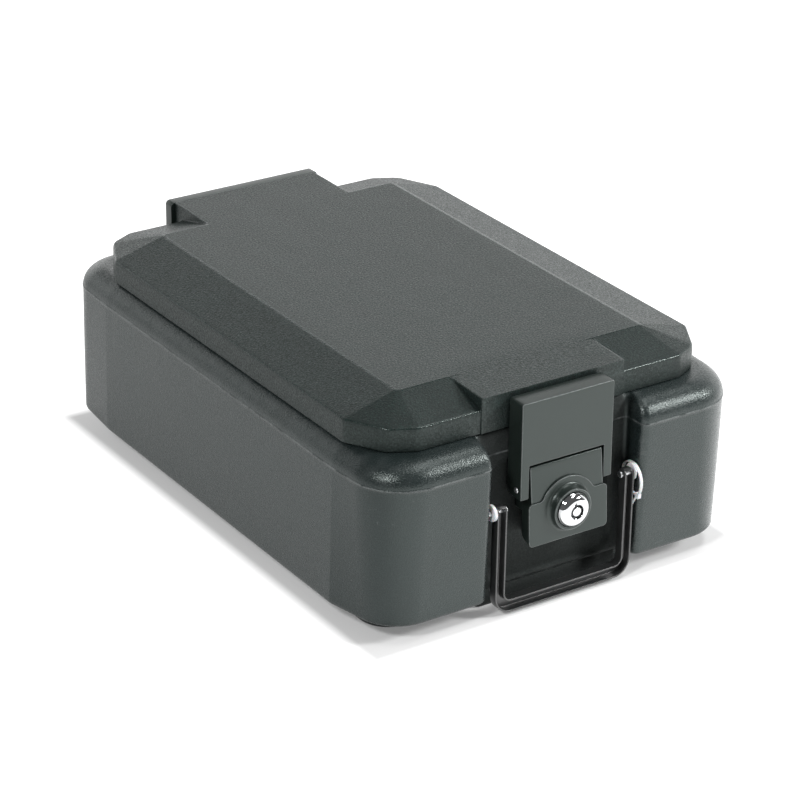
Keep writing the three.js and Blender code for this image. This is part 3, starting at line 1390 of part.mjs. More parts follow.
function cableTie() {
  const path = new THREE.CatmullRomCurve3(
    TIE_LOOP.map(([y, z]) => new THREE.Vector3(y, z, 0)),
    true,
  );
  const around = [];
  const inside = [];
  const steps = 36;
  for (let i = 0; i < steps; i += 1) {
    const p = path.getPointAt(i / steps);
    const t = path.getTangentAt(i / steps);
    const out = new THREE.Vector2(-t.y, t.x).multiplyScalar(TIE_THICKNESS / 2);
    around.push([p.x + out.x, p.y + out.y]);
    inside.push([p.x - out.x, p.y - out.y]);
  }
  const hole = acrossX(inside, TIE_X - CUT_PAST, TIE_X + TIE_WIDTH + CUT_PAST);
  const loop = acrossX(around, TIE_X, TIE_X + TIE_WIDTH).subtract(hole);
  const run = new THREE.Vector2(TIE_TAIL[0] - TIE_HEAD[0], TIE_TAIL[1] - TIE_HEAD[1]);
  const side = new THREE.Vector2(-run.y, run.x).normalize().multiplyScalar(TIE_THICKNESS / 2);
  const tail = acrossX(
    [
      [TIE_HEAD[0] + side.x, TIE_HEAD[1] + side.y],
      [TIE_HEAD[0] - side.x, TIE_HEAD[1] - side.y],
      [TIE_TAIL[0] - side.x * 0.6, TIE_TAIL[1] - side.y * 0.6],
      [TIE_TAIL[0] + side.x * 0.6, TIE_TAIL[1] + side.y * 0.6],
    ].reverse(),
    TIE_X + 0.1,
    TIE_X + TIE_WIDTH - 0.1,
  );
  const head = rectangleOutline(
    TIE_HEAD[0] - 1.9,
    TIE_HEAD[0] + 1.9,
    TIE_HEAD[1] - 2.1,
    TIE_HEAD[1] + 2.1,
    0.8,
    2,
  ).map((p) => [p.x, p.y]);
  const tie = joined([loop, tail, acrossX(head, TIE_X, TIE_X + TIE_HEAD_WIDTH)]);
  return meshFrom("cable_tie", tie, nylon);
}

function screwSet(prefix, places, headY, side, length) {
  return places.map(([x, z], i) => screw(`${prefix}_${i + 1}`, x, z, headY, side, length));
}

function group(name, parts) {
  const made = new THREE.Group();
  made.name = name;
  parts.forEach((part) => made.add(part));
  return made;
}

const base = group("base", [
  baseShell(),
  baseFill(),
  fillPlug("base_fill_plug", BASE_FILL_HOLE, 0),
  lidSeal(),
  hingeBracket(),
  hingeRod(),
  ...screwSet(
    "bracket_screw",
    BRACKET_SCREWS,
    BRACKET_REAR_Y + SCREW_HEAD_HEIGHT + TOUCH_GAP,
    1,
    BRACKET_THICKNESS + SCREW_HEAD_HEIGHT + 2 * TOUCH_GAP + SCREW_BITE,
  ),
  lockHousing(),
  ...screwSet(
    "housing_screw",
    HOUSING_SCREWS,
    HOUSING_FRONT_Y,
    -1,
    PANEL_FACE_Y - HOUSING_FRONT_Y + SCREW_BITE,
  ),
  lockCover(),
  lockBody(),
  lockNut(),
  latchPin(),
  bailPin("bail_pin_left", -1),
  bailPin("bail_pin_right", 1),
  bailWasher("bail_washer_left", -1, WASHER_SPACE),
  bailWasher("bail_washer_right", 1, WASHER_THIN),
  cableTie(),
]);

const lid = group("lid", [
  lidShell(),
  lidFill(),
  fillPlug("lid_fill_plug", LID_FILL_HOLE, LID_FOOT),
  hingePlate(),
  ...screwSet(
    "leaf_screw",
    LEAF_SCREWS,
    LEAF_REAR_Y,
    1,
    LEAF_REAR_Y - REAR_TONGUE_Y + SCREW_BITE,
  ),
]);

const root = group("document_box", [
  base,
  lid,
  group("latch", [latchLever()]),
  group("lock", [lockPlug(), lockCam(), camScrew()]),
  group("bail", [bailHandle()]),
]);

export default root;
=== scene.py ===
"""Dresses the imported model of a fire-resistant document box: moulded skins, latch, lock,
bail, hinge and a plain studio. Lengths in the shape functions are millimetres."""

import math

import bmesh
import bpy
import numpy as np
from mathutils import Matrix


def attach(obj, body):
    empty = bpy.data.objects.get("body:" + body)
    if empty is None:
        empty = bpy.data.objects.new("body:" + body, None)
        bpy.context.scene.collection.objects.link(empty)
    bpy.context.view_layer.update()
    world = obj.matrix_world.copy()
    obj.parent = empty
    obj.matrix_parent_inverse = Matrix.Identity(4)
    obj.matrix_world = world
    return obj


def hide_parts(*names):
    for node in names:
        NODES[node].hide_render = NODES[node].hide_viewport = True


bl_info = {
    "name": "Document box dressing",
    "version": (1, 0, 0),
    "blender": (4, 5, 0),
    "location": "View3D > Sidebar > Document box",
    "description": "Builds the skins, hardware and finishes of a fire-resistant document box",
    "category": "Object",
}

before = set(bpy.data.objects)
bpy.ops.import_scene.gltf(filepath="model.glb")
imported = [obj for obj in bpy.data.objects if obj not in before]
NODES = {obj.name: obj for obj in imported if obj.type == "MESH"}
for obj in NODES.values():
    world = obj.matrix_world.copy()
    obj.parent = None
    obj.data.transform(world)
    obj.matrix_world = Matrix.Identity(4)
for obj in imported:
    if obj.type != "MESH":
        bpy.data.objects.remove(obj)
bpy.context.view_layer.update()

# A millimetre in metres, and millimetres to the metre
MM = 0.001
PER_METRE = 1000

# Base moulding
BASE_HALF = (146.0, 207.0)
FOOT_HALF = (147.5, 203.5)
PLINTH_HEIGHT = 12.0
BASE_TOP = 127.0
PARTING_HEIGHT = 111.5
SHOULDER_RUN = 15.5
KINK_Y = 150.0
KINK_RADIUS = 7.0
FRONT_CORNER_TOP = (3.0, 36.0)
FRONT_CORNER_FOOT = (11.5, 30.0)
REAR_CORNER_TOP = (2.0, 28.0)
REAR_CORNER_FOOT = (5.0, 20.0)
RECESS_Y = 188.5
FRONT_RECESS = 59.5
REAR_RECESS = 67.0
FRONT_RECESS_RADIUS = 5.5
REAR_RECESS_RADIUS = 8.0
RECESS_TOP_RUN = 5.0
PLINTH_HALF = (130.0, 181.0)
PLINTH_RADIUS = 22.0
CENTRE_FOOT_HALF = (57.0, 187.0)
PANEL_HALF_WIDTH = 50.0
PANEL_Z = (15.0, 106.0)
PANEL_RADIUS = 14.0
PANEL_DEPTH = 2.2
ROOM_HALF = (108.0, 152.0)
ROOM_FLOOR = 42.0
ROOM_RADIUS = 20.0
REBATE_HALF = (120.0, 164.0)
REBATE_FLOOR = 119.0
REBATE_RADIUS = 26.0

# Lid moulding
LID_FOOT = 127.3
RIM_TOP = 143.7
LID_TOP = 154.0
RIM_HALF_WIDTH = 138.0
RIM_FRONT = 186.0
RIM_REAR = 190.0
CROWN_HALF_WIDTH = 98.0
CROWN_FRONT = 150.5
CROWN_REAR = 152.0
FRONT_TONGUE = (57.0, 187.0)
REAR_TONGUE = (60.0, 200.7)
TONGUE_DROP = 1.5
LID_RING_HALF = (118.5, 162.5)
LID_RING_FOOT = 121.0
LID_RING_WIDTH = 8.5
LID_RING_RADIUS = 24.5
STRIKE_HALF_WIDTH = 20.0
STRIKE_Z = (138.0, 146.0)
STRIKE_DEPTH = 4.0
RIM_BENDS = (33.5, 15.4)
RIM_BEND_RADII = (8.0, 14.0)
RIM_CORNER_RUN = 9.1
RIM_SIDE_Y = 150.0
RIM_ROUND = 1.3
TONGUE_ROUND = 1.4
TONGUE_DROP_START = 140.5
WELD_DISTANCE = 1e-6

# Latch lever, lock block and cover
LEVER_REAR_Y = -189.0
LEVER_FRONT_TOP_Y = -203.2
LEVER_FRONT_FOOT_Y = -204.2
LEVER_HALF_WIDTH = 36.5
LEVER_Z = (81.0, 149.5)
NOTCH_HALF_WIDTH = 30.0
NOTCH_TOP = 104.5
HEEL_RADIUS = 5.0
PIN_Y = -198.8
PIN_Z = 87.0
LEVER_PIN_RADIUS = 2.3
LEVER_PIN_DOME = 1.3
LEVER_PIN_PROUD = 0.9
HOOK_HALF_WIDTH = 16.0
HOOK_Y = -187.35
BLOCK_Y = (-205.6, -195.4)
BLOCK_Z = (47.6, 102.5)
BLOCK_BEND_Z = 78.0
BLOCK_TOP_Y = -202.8
BLOCK_HALF_WIDTH = 28.7
MOUNT_Y = (-197.0, -186.6)
# Half width, lowest and highest point of each mounting block
MOUNTS = ((28.0, 68.0, 100.0), (22.0, 48.2, 69.0))
LOCK_Z = 69.2
COVER_Z = (47.4, 77.6)
COVER_LEAN = 0.065
COVER_ARCH_Z = 67.4
COVER_HALF_WIDTH = 31.5
COVER_FRONT_Y = -208.8
COVER_ARCH_RADIUS = 23.1
COVER_ARCH_FILLET = 4.0
BOSS_LIP_Y = -212.7
BOSS_SEAT_Y = -211.6
BOSS_LIP_RADIUS = 14.5
BOSS_FOOT_RADIUS = 17.7
# Control points of the boss's flare: radius, and share of the way from front to lip
BOSS_FLARE = ((BOSS_LIP_RADIUS + 0.25, 0.92), (15.1, 0.40), (15.5, 0.0), (BOSS_FOOT_RADIUS, 0.0))
BOSS_SEAT_RADII = (9.2, 12.4, 12.7)
LOCK_FACE_Y = -217.2
LOCK_BORE = 4.95
LOCK_DOME_RADIUS = (6.9, 4.9)
LOCK_DOME_FALL = 3.9
LOCK_DOME_BEND = 1.2
LOCK_HEAD = (12.0, -212.0)
LOCK_BARREL = (9.0, -192.4)
KEY_NOTCH_DEGREES = 104

# Bail
BAIL_Y = -201.2
BAIL_Z = 77.2
BAIL_PIN_RADIUS = 1.8
BAIL_PIN_DOME = 0.3
BAIL_PIN_INSIDE = 1.2
BAIL_PIN_OUTSIDE = 5.5
BAIL_CAP_RADIUS = 2.4
BAIL_CAP_DOME = 0.7
BAIL_CAP_SPAN = (1.9, 0.3)
BAIL_HALF_WIDTH = 55.0
BAIL_ARM = 7.6
WASHER_SPANS = {"left": (0.9, 3.2), "right": (0.35, 1.1)}
WASHER_RADIUS = 5.7
WASHER_PLAY = 0.15
BAIL_FOOT = 2.5
BAIL_BAR = 9.2
BAIL_FRONT_Y = -205.5
BAIL_REAR_Y = -198.5
BAIL_TOP = 80.8
BAIL_SHEET = 1.2
BAIL_CORNER = 13.0
BAIL_LIP_RISE = 3.8
BAIL_LIP_FALL = 3.2
BAIL_LIP_DEPTH = 1.6
BAIL_TIP_RADIUS = 1.3

# Hinge
HINGE_Y = 205.7
HINGE_Z = 118.0
KNUCKLE_RADIUS = 4.5
LEAF_KNUCKLES = ((-40, -13), (13, 40))
BRACKET_KNUCKLES = ((-56, -40.5), (-12.5, 12.5), (40.5, 56))

# Cable tie: middle line of the loop as (y, z) steps from the bail pin
TIE_LOOP = (
    (-5.4, -15.8),
    (-8.4, -10.7),
    (-8.6, -4.2),
    (-5.7, 1.7),
    (-0.8, 5.0),
    (5.4, 4.8),
    (10.0, 1.0),
    (11.0, -5.2),
    (8.2, -11.4),
    (2.6, -15.2),
)
TIE_X = (56.4, 58.7)
TIE_THICKNESS = 1.1
TIE_RIB = 0.12
TIE_HEAD = (-5.8, -16.2)
TIE_HEAD_HALF = (1.9, 2.1)
TIE_HEAD_WIDTH = 2.7
TIE_TAIL = (2.0, -29.2)
TIE_TAIL_SCALE = 0.9
TIE_TAIL_BOW = 0.9
# Share of the tail at which it starts to narrow, and how much of its width it loses
TIE_TAIL_TAPER = (0.86, 0.62)

# Camera of the photograph, in metres
CAMERA_EYE = (-1.05998, -1.58351, 0.97627)
CAMERA_AIM = (0.50489, 0.75427, -0.41972)
CAMERA_ROLL = 0.8965
CAMERA_LENS = 135.19
CAMERA_SHIFT = (0.00817, -0.0549)

# Lamps: setting of the power, size, place and height aimed at, in metres
LAMPS = {
    "top_lamp": ("top_watts", (1.05, 0.34), (0.50, -0.36, 1.55), 0.1),
    "front_lamp": ("front_watts", (0.42, 0.42), (1.42, -1.32, 1.18), 0.08),
    "left_lamp": ("left_watts", (0.7, 1.2), (-1.9, 0.3, 0.7), 0.08),
    "corner_lamp": ("corner_watts", (0.26, 0.26), (-1.30, -0.72, 1.28), 0.08),
}

# Backdrop: its level direction, and where it fades in sideways and out upwards
BACKDROP_WAY = (0.556, 0.831)
BACKDROP_EDGE = (0.10, 0.52)
BACKDROP_TOP = (0.45, 0.56)

# Floor: sheet, part under the box that keeps its shadow, and its brightness in mirrors
FLOOR_HALF = 6.0
FLOOR_POINTS = 13
FLOOR_Z = -0.0002
SHADED_HALF = (0.146, 0.205)
SHADED_LIFT = 0.08
MIRROR_LEVEL = 0.70
MIRROR_RISE = 0.88


# Shapes


def outline(corners, runs):
    """Closed outline of straight runs and corner arcs. A corner is (x, y, radius, steps):
    its arc's centre lies on the bisector at radius / sin(half angle), and the arc starts at
    radius / tan(half angle) from the corner. runs holds, for each corner, the steps of the
    straight run after it, or the shares of that run at which points stand."""
    table = np.array([c[:3] for c in corners], float)
    spot, radius = table[:, :2], table[:, 2]
    back = np.roll(spot, 1, 0) - spot
    ahead = np.roll(spot, -1, 0) - spot
    back /= np.linalg.norm(back, axis=1)[:, None]
    ahead /= np.linalg.norm(ahead, axis=1)[:, None]
    half = np.arccos(np.clip((back * ahead).sum(1), -1, 1)) / 2
    middle = back + ahead
    middle /= np.linalg.norm(middle, axis=1)[:, None]
    centre = spot + middle * (radius / np.sin(half))[:, None]
    start = spot + back * (radius / np.tan(half))[:, None]
    end = spot + ahead * (radius / np.tan(half))[:, None]
    a0 = np.arctan2(*(start - centre).T[::-1])
    a1 = np.arctan2(*(end - centre).T[::-1])
    sweep = (a1 - a0 + np.pi) % (2 * np.pi) - np.pi
    following = np.roll(start, -1, 0)
    pieces = []
    for i, corner in enumerate(corners):
        angle = a0[i] + sweep[i] * np.linspace(0, 1, corner[3] + 1)
        turn = np.stack([np.cos(angle), np.sin(angle)], 1)
        pieces.append(centre[i] + radius[i] * turn)
        run = runs[i]
        share = np.linspace(0, 1, run + 1)[1:-1] if isinstance(run, int) else np.asarray(run)
        pieces.append(end[i] + (following[i] - end[i]) * share[:, None])
    return np.concatenate(pieces)


def rectangle(first, opposite, radius, steps, runs):
    """Outline of a rectangle with round corners, from one corner and the opposite one."""
    (a0, b0), (a1, b1) = first, opposite
    corners = ((a0, b0), (a1, b0), (a1, b1), (a0, b1))
    return outline([(a, b, radius, steps) for a, b in corners], runs)


def mirrored(front, rear):
    """Corner rows of a whole outline from those of its right half, front and rear."""
    return front + rear[::-1] + [(-x, y, r, n) for x, y, r, n in rear + front[::-1]]


def spans(corners, runs):
    """Index of each corner arc's first and last point in the outline of the same rows."""
    first, last, at = [], [], 0
    for corner, run in zip(corners, runs):
        first.append(at)
        last.append(at + corner[3])
        at += corner[3] + (run if isinstance(run, int) else len(run) + 1)
    return first, last, at


def round_rectangle(half, radius, place):
    """Point of a rounded rectangle at each place from 0 to 12: 0 is the middle of the
    front edge, a quarter turn takes 3, and of those the first is half an edge, the second
    the corner's arc and the third half an edge."""
    quarter, local = np.divmod(place, 3)
    turn = quarter * np.pi / 2
    long = np.where(quarter % 2 == 0, half[0], half[1])
    deep = np.where(quarter % 2 == 0, half[1], half[0])
    arc = np.clip(local - 1, 0, 1) * np.pi / 2
    along = np.where(local < 1, (long - radius) * local, long - radius + radius * np.sin(arc))
    out = np.where(local < 1, deep, deep - radius + radius * np.cos(arc))
    out = np.where(local > 2, (deep - radius) * (3 - local), out)
    along = np.where(local > 2, long, along)
    x = along * np.cos(turn) + out * np.sin(turn)
    y = along * np.sin(turn) - out * np.cos(turn)
    return np.stack([x, y], 1)


def places(rows, runs, near, far):
    """Where each point of an outline meets a rounded rectangle, as a place from 0 to 12:
    fixed at the ends of its arcs, given for a front and a rear quarter, and even between
    them."""
    first, last, count = spans(rows, runs)
    knots = near + [(6 - b, 6 - a) for a, b in far[::-1]]
    knots += [(6 + a, 6 + b) for a, b in far] + [(12 - b, 12 - a) for a, b in near[::-1]]
    spots = [v for pair in zip(first, last) for v in pair] + [count + first[0]]
    values = [v for pair in knots for v in pair] + [12 + knots[0][0]]
    return np.interp(np.arange(count), spots, values) % 12


def raised(flat, z):
    """Ring of points (x, y, z) from flat points and one height or one per point."""
    return np.column_stack([flat, np.broadcast_to(z, len(flat))])


def upright(flat, y):
    """Ring of points (x, y, z) from flat (x, z) points and one depth, one for each point or
    a function of the height."""
    depth = y(flat[:, 1]) if callable(y) else y
    return np.column_stack([flat[:, 0], np.broadcast_to(depth, len(flat)), flat[:, 1]])


def inset_ring(half, run, radius, z, place):
    """Level ring of a rounded rectangle drawn in by a run, at the given places."""
    return raised(round_rectangle((half[0] - run, half[1] - run), radius, place), z)


def eased(rings, reach, steps):
    """Rings with their profile rounded. At each inner ring a quadratic curve runs from the
    point at 'reach' before it to the point at 'reach' after it, with the ring's own point
    as its control. Returns the rings and how close each is to a rounded edge, 0 to 1."""
    made, near = [rings[0]], [0.0]
    for i in range(1, len(rings) - 1):
        here = rings[i]
        r = np.broadcast_to(np.asarray(reach[i], float), len(here))[:, None]
        if float(r.max()) <= 0:
            made.append(here)
            near.append(0.0)
            continue
        before, after = rings[i - 1] - here, rings[i + 1] - here
        lb = np.linalg.norm(before, axis=1)[:, None] + 1e-9
        la = np.linalg.norm(after, axis=1)[:, None] + 1e-9
        p0 = here + before / lb * np.minimum(r, lb * 0.45)
        p2 = here + after / la * np.minimum(r, la * 0.45)
        for t in np.linspace(0, 1, steps + 1):
            made.append((1 - t) ** 2 * p0 + 2 * t * (1 - t) * here + t**2 * p2)
            near.append(4 * t * (1 - t))
    made.append(rings[-1])
    near.append(0.0)
    return np.stack(made), np.array(near)


def piece(name, skin, body, key, stands_for):
    """Mesh object from a skin in millimetres, on its body, with its finish. The mesh keeps
    the skin's edge values, 1 where the surface turns over an edge."""
    points, faces, edge = skin
    mesh = bpy.data.meshes.new(name)
    mesh.from_pydata((points * MM).tolist(), [], faces)
    mark = mesh.attributes.new("edge", "FLOAT", "POINT")
    mark.data.foreach_set("value", edge)
    mesh.validate()
    mesh.shade_smooth()
    mesh.materials.append(finish(key))
    made = bpy.data.objects.new(name, mesh)
    bpy.context.scene.collection.objects.link(made)
    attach(made, body)
    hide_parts(*stands_for)
    return made


def facing(points, faces):
    """Faces turned so that the closed skin has a positive volume, by the sum over a fan of
    triangles of point . (point x point) / 6."""
    total = 0.0
    p = np.asarray(points)
    quads = np.array([f for f in faces if len(f) == 4])
    if len(quads):
        a, b, c, d = (p[quads[:, i]] for i in range(4))
        total += (a * np.cross(b, c)).sum() + (a * np.cross(c, d)).sum()
    for face in faces:
        if len(face) == 4:
            continue
        ring = p[face]
        total += (ring[0] * np.cross(ring[1:-1], ring[2:])).sum()
    return faces if total > 0 else [face[::-1] for face in faces]


def loft(rings, edge=0.0, last_cap=True, looped=False):
    """Closed skin through rings: points, faces and edge values, of which there is one for
    all, for each ring or for each point. The end rings are closed by one flat face each, or
    joined to each other in a loop."""
    rows, columns = rings.shape[:2]
    k, i = np.meshgrid(np.arange(rows if looped else rows - 1), np.arange(columns), indexing="ij")
    after, beside = (k + 1) % rows, (i + 1) % columns
    corners = [k * columns + i, k * columns + beside, after * columns + beside, after * columns + i]
    faces = np.stack(corners, -1).reshape(-1, 4).tolist()
    if not looped:
        faces.append(list(range(columns - 1, -1, -1)))
    if last_cap and not looped:
        faces.append(list(range((rows - 1) * columns, rows * columns)))
    edge = np.asarray(edge, float)
    if edge.ndim == 1:
        edge = edge[:, None]
    points = rings.reshape(-1, 3)
    return points, facing(points, faces), np.broadcast_to(edge, (rows, columns)).ravel()


def merged(skins):
    """Several skins as one."""
    points, faces, edges, at = [], [], [], 0
    for p, f, e in skins:
        points.append(p)
        faces += [[v + at for v in face] for face in f]
        edges.append(e)
        at += len(p)
    return np.concatenate(points), faces, np.concatenate(edges)


def solid(rings, reach, steps):
    """Closed skin through rings, its profile rounded as in 'eased'."""
    return loft(*eased([np.asarray(r, float) for r in rings], reach, steps))


def turned_skin(profile, centre, axis, columns=48):
    """Rings of a profile of (radius, place along the axis) carried round an axis through
    the centre, 0 for X and 1 for Y. To the centre's two values, the level one and the
    height, come radius cos a and radius sin a."""
    radius, along = np.asarray(profile, float).T[..., None]
    angle = np.arange(columns) / columns * 2 * np.pi
    points = np.empty((len(radius), columns, 3))
    points[..., axis] = along
    points[..., 1 - axis] = centre[0] + radius * np.cos(angle)
    points[..., 2] = centre[1] + radius * np.sin(angle)
    return points


def profile_eased(points, reach):
    """A (radius, height) profile with its inner corners rounded, as in 'eased'."""
    rows = [np.array([[r, h, 0.0]]) for r, h in points]
    made, near = eased(rows, [reach] * len(rows), 3)
    return made[:, 0, :2], near


def prism(flat, x0, x1, reach):
    """Solid of a side view of (y, z) points drawn along X, its end edges rounded: rings of
    the side view, drawn in at both ends."""
    middle = flat.mean(0)
    span = np.abs(flat - middle).max()
    small = middle + (flat - middle) * (1 - 2.2 * reach / span)
    ends = ((small, x0), (flat, x0), (flat, x1), (small, x1))
    rings = [np.column_stack([np.full(len(side), x), side]) for side, x in ends]
    return solid(rings, [0, reach, reach, 0], 3)


def smooth(value, low, high):
    """0 below low, 1 above high, and 3t^2 - 2t^3 between."""
    t = np.clip((value - low) / (high - low), 0, 1)
    return t * t * (3 - 2 * t)


def mix(pair, share):
    """Value between the first and the second of a pair."""
    return pair[0] + (pair[1] - pair[0]) * share


# Base and lid


def base_corners(share, run, recess_run):
    """Corner rows of the base's outline at a share of the height from foot to parting line:
    each size is mixed between its foot and its top value, then drawn in by the run."""
    half_x = mix((FOOT_HALF[0], BASE_HALF[0]), share) - run
    half_y = mix((FOOT_HALF[1], BASE_HALF[1]), share) - run
    front_cut = half_x - mix((FRONT_CORNER_FOOT[0], FRONT_CORNER_TOP[0]), share)
    rear_cut = half_x - mix((REAR_CORNER_FOOT[0], REAR_CORNER_TOP[0]), share)
    front_radius = mix((FRONT_CORNER_FOOT[1], FRONT_CORNER_TOP[1]), share) - run / 2
    rear_radius = mix((REAR_CORNER_FOOT[1], REAR_CORNER_TOP[1]), share) - run / 2
    kink = KINK_Y - run / 2
    recess = RECESS_Y - recess_run
    front = [
        (FRONT_RECESS + recess_run, -recess, 3, 4),
        (FRONT_RECESS + recess_run, -half_y, FRONT_RECESS_RADIUS, 10),
        (front_cut, -half_y, front_radius, 22),
        (half_x, -kink, KINK_RADIUS, 6),
    ]
    rear = [
        (REAR_RECESS + recess_run, recess, 3, 4),
        (REAR_RECESS + recess_run, half_y, REAR_RECESS_RADIUS, 10),
        (rear_cut, half_y, rear_radius, 18),
        (half_x, kink, KINK_RADIUS, 6),
    ]
    return mirrored(front, rear)


EVEN_SHARES = np.linspace(-1, 1, 75)[1:-1]
RECESS_SHARES = 0.5 + 0.5 * np.sign(EVEN_SHARES) * (1 - (1 - np.abs(EVEN_SHARES)) ** 1.15)
BASE_RUNS = [6, 10, 12, 34, 12, 10, 6, 30, 6, 10, 12, 34, 12, 10, 6, RECESS_SHARES]


def base_edge_values():
    """How close each point of the base's outline is to an upright edge: a half sine over
    the arcs beside the recesses, 0 elsewhere."""
    rows = base_corners(1, 0, 0)
    first, last, count = spans(rows, BASE_RUNS)
    value = np.zeros(count)
    for i in (1, 6, 9, 14):
        steps = last[i] - first[i] + 1
        value[first[i] : last[i] + 1] = np.sin(np.linspace(0, np.pi, steps))
    return value


def base_places():
    """Where the base's outline meets the rounded rectangles of the room, as in 'places'."""
    straight = REBATE_HALF[0] - REBATE_RADIUS
    f = (FRONT_RECESS + RECESS_TOP_RUN + 3) / straight
    r = (REAR_RECESS + RECESS_TOP_RUN + 3) / straight
    near = [(f - 0.08, f - 0.05), (f - 0.03, f + 0.04), (1.0, 1.9), (2.0, 2.15)]
    far = [(a if a > 1.5 else r + (a - f), b if b > 1.5 else r + (b - f)) for a, b in near]
    return places(base_corners(1, SHOULDER_RUN, RECESS_TOP_RUN), BASE_RUNS, near, far)


def panel_dish(points):
    """Sinks the front recess wall by the panel's depth inside a rounded rectangle: the
    depth follows a smooth step of the distance inside its outline, over 1.6 mm."""
    x, z = points[:, 0], points[:, 2]
    centre = (PANEL_Z[0] + PANEL_Z[1]) / 2
    qx = np.abs(x) - (PANEL_HALF_WIDTH - PANEL_RADIUS)
    qz = np.abs(z - centre) - ((PANEL_Z[1] - PANEL_Z[0]) / 2 - PANEL_RADIUS)
    outside = np.hypot(np.maximum(qx, 0), np.maximum(qz, 0)) + np.minimum(np.maximum(qx, qz), 0)
    depth = PANEL_DEPTH * smooth(PANEL_RADIUS - outside, 0, 1.6)
    on_wall = (points[:, 1] < -RECESS_Y + 0.5) & (points[:, 1] > -RECESS_Y - 0.5)
    points[:, 1] += np.where(on_wall & (np.abs(x) < FRONT_RECESS - 4), depth, 0)
    return points


def base_skin(fillet):
    """Base moulding as rings from the underside up its sides, over the shoulder and down
    into the room. The foot fillet and the shoulder are quarter circles: run = r (1 - sin a)
    and height = r (1 - cos a), and run = r (1 - cos a) and height = r sin a."""
    rings, near = [], []

    def ring(share, run, recess_run, z, edge=0.0):
        rings.append(raised(outline(base_corners(share, run, recess_run), BASE_RUNS), z))
        near.append(edge)

    for run in (26.0, fillet + 3):
        ring(0, run, run * 0.3, PLINTH_HEIGHT)
    for a in np.linspace(0, np.pi / 2, 9):
        run = fillet * (1 - np.sin(a))
        ring(0, run, run * 0.8, PLINTH_HEIGHT + fillet * (1 - np.cos(a)), math.sin(2 * a))
    foot = PLINTH_HEIGHT + fillet
    rise = PARTING_HEIGHT - 0.5 - foot
    for t in np.linspace(0, 1, 52)[1:]:
        z = foot + rise * t
        ring((z - foot) / (PARTING_HEIGHT - foot), 0, 0, z)
    ring(1, -0.30, 0, PARTING_HEIGHT - 0.18, 1.0)
    ring(1, -0.30, 0, PARTING_HEIGHT + 0.18, 1.0)
    ring(1, 0.05, 0, PARTING_HEIGHT + 0.5)
    height = BASE_TOP - PARTING_HEIGHT
    for a in np.linspace(0, np.pi / 2, 19)[1:]:
        run = SHOULDER_RUN * (1 - np.cos(a))
        z = PARTING_HEIGHT + height * np.sin(a)
        ring(1, run, RECESS_TOP_RUN * (1 - np.cos(a)), z, 0.4 * math.sin(2 * a))
    outer = panel_dish(np.concatenate(rings)).reshape(len(rings), -1, 3)
    place = base_places()
    inner = [
        outer[-1],
        inset_ring(REBATE_HALF, -1.5, REBATE_RADIUS + 1.5, BASE_TOP, place),
        inset_ring(REBATE_HALF, 0, REBATE_RADIUS, BASE_TOP, place),
        inset_ring(REBATE_HALF, 0, REBATE_RADIUS, REBATE_FLOOR, place),
        inset_ring(ROOM_HALF, 0, ROOM_RADIUS, REBATE_FLOOR, place),
        inset_ring(ROOM_HALF, 0, ROOM_RADIUS, ROOM_FLOOR, place),
        inset_ring(ROOM_HALF, 14, ROOM_RADIUS - 12, ROOM_FLOOR, place),
    ]
    inner, inner_near = eased(inner, [0, 0, 0.8, 0.8, 0.8, 6, 0], 6)
    every = np.concatenate([outer, inner[1:]])
    edge = np.concatenate([near, inner_near[1:]])[:, None]
    outside = np.arange(len(every))[:, None] < len(outer)
    return loft(every, np.maximum(edge, np.where(outside, base_edge_values() * 0.8, 0)))


def foot_skin():
    """Foot under the base: rings of a rounded rectangle with a step forward and back at its
    middle, drawn in at the floor."""

    def ring(run, z):
        wide, deep = PLINTH_HALF[0] - run, PLINTH_HALF[1] - run
        middle, reach = CENTRE_FOOT_HALF[0] - run, CENTRE_FOOT_HALF[1] - run
        front = [(middle, -reach, 3, 5), (middle, -deep, 2, 4), (wide, -deep, PLINTH_RADIUS - run, 12)]
        rear = [(x, -y, r, n) for x, y, r, n in front]
        return raised(outline(mirrored(front, rear), [3, 8, 20, 8, 3, 12] * 2), z)

    rings = [ring(4, 0), ring(0, 0), ring(0, PLINTH_HEIGHT + 4), ring(4, PLINTH_HEIGHT + 4)]
    return solid(rings, [0, 2.4, 0, 0], 5)


def lid_corners(share, run):
    """Corner rows of the lid's outline between rim (share 0) and crown (share 1), with the
    two tongues at full reach in every row. The bevels' corners run from the rim's cut
    corners to the crown's sharp ones in straight lines."""

    def between(rim, crown):
        return mix((rim, crown), share)

    radius, wide_radius = between(RIM_BEND_RADII[0], 0.6), between(RIM_BEND_RADII[1], 0.25)
    first = between(RIM_HALF_WIDTH - RIM_BENDS[0], CROWN_HALF_WIDTH - 1.6)
    second = between(RIM_HALF_WIDTH - RIM_BENDS[1], CROWN_HALF_WIDTH - 0.5)
    side = between(RIM_HALF_WIDTH, CROWN_HALF_WIDTH) - run

    def quarter(edge_y, crown_y, tongue):
        reach = between(edge_y, crown_y) - run
        wide, end = tongue
        step = max(end - reach, 0.3)
        corner_y = between(edge_y - RIM_CORNER_RUN, crown_y - 0.5) - run * 0.8
        return [
            (wide, end, min(1.0, 0.45 * step), 4),
            (wide, reach, min(2.2, 0.45 * step), 4),
            (first - run * 0.5, reach, radius, 6),
            (second - run * 0.9, corner_y, wide_radius, 7),
            (side, between(RIM_SIDE_Y, crown_y - 1.6) - run * 0.5, radius, 6),
        ]

    front = [(x, -y, r, n) for x, y, r, n in quarter(RIM_FRONT, CROWN_FRONT, FRONT_TONGUE)]
    return mirrored(front, quarter(RIM_REAR, CROWN_REAR, REAR_TONGUE))


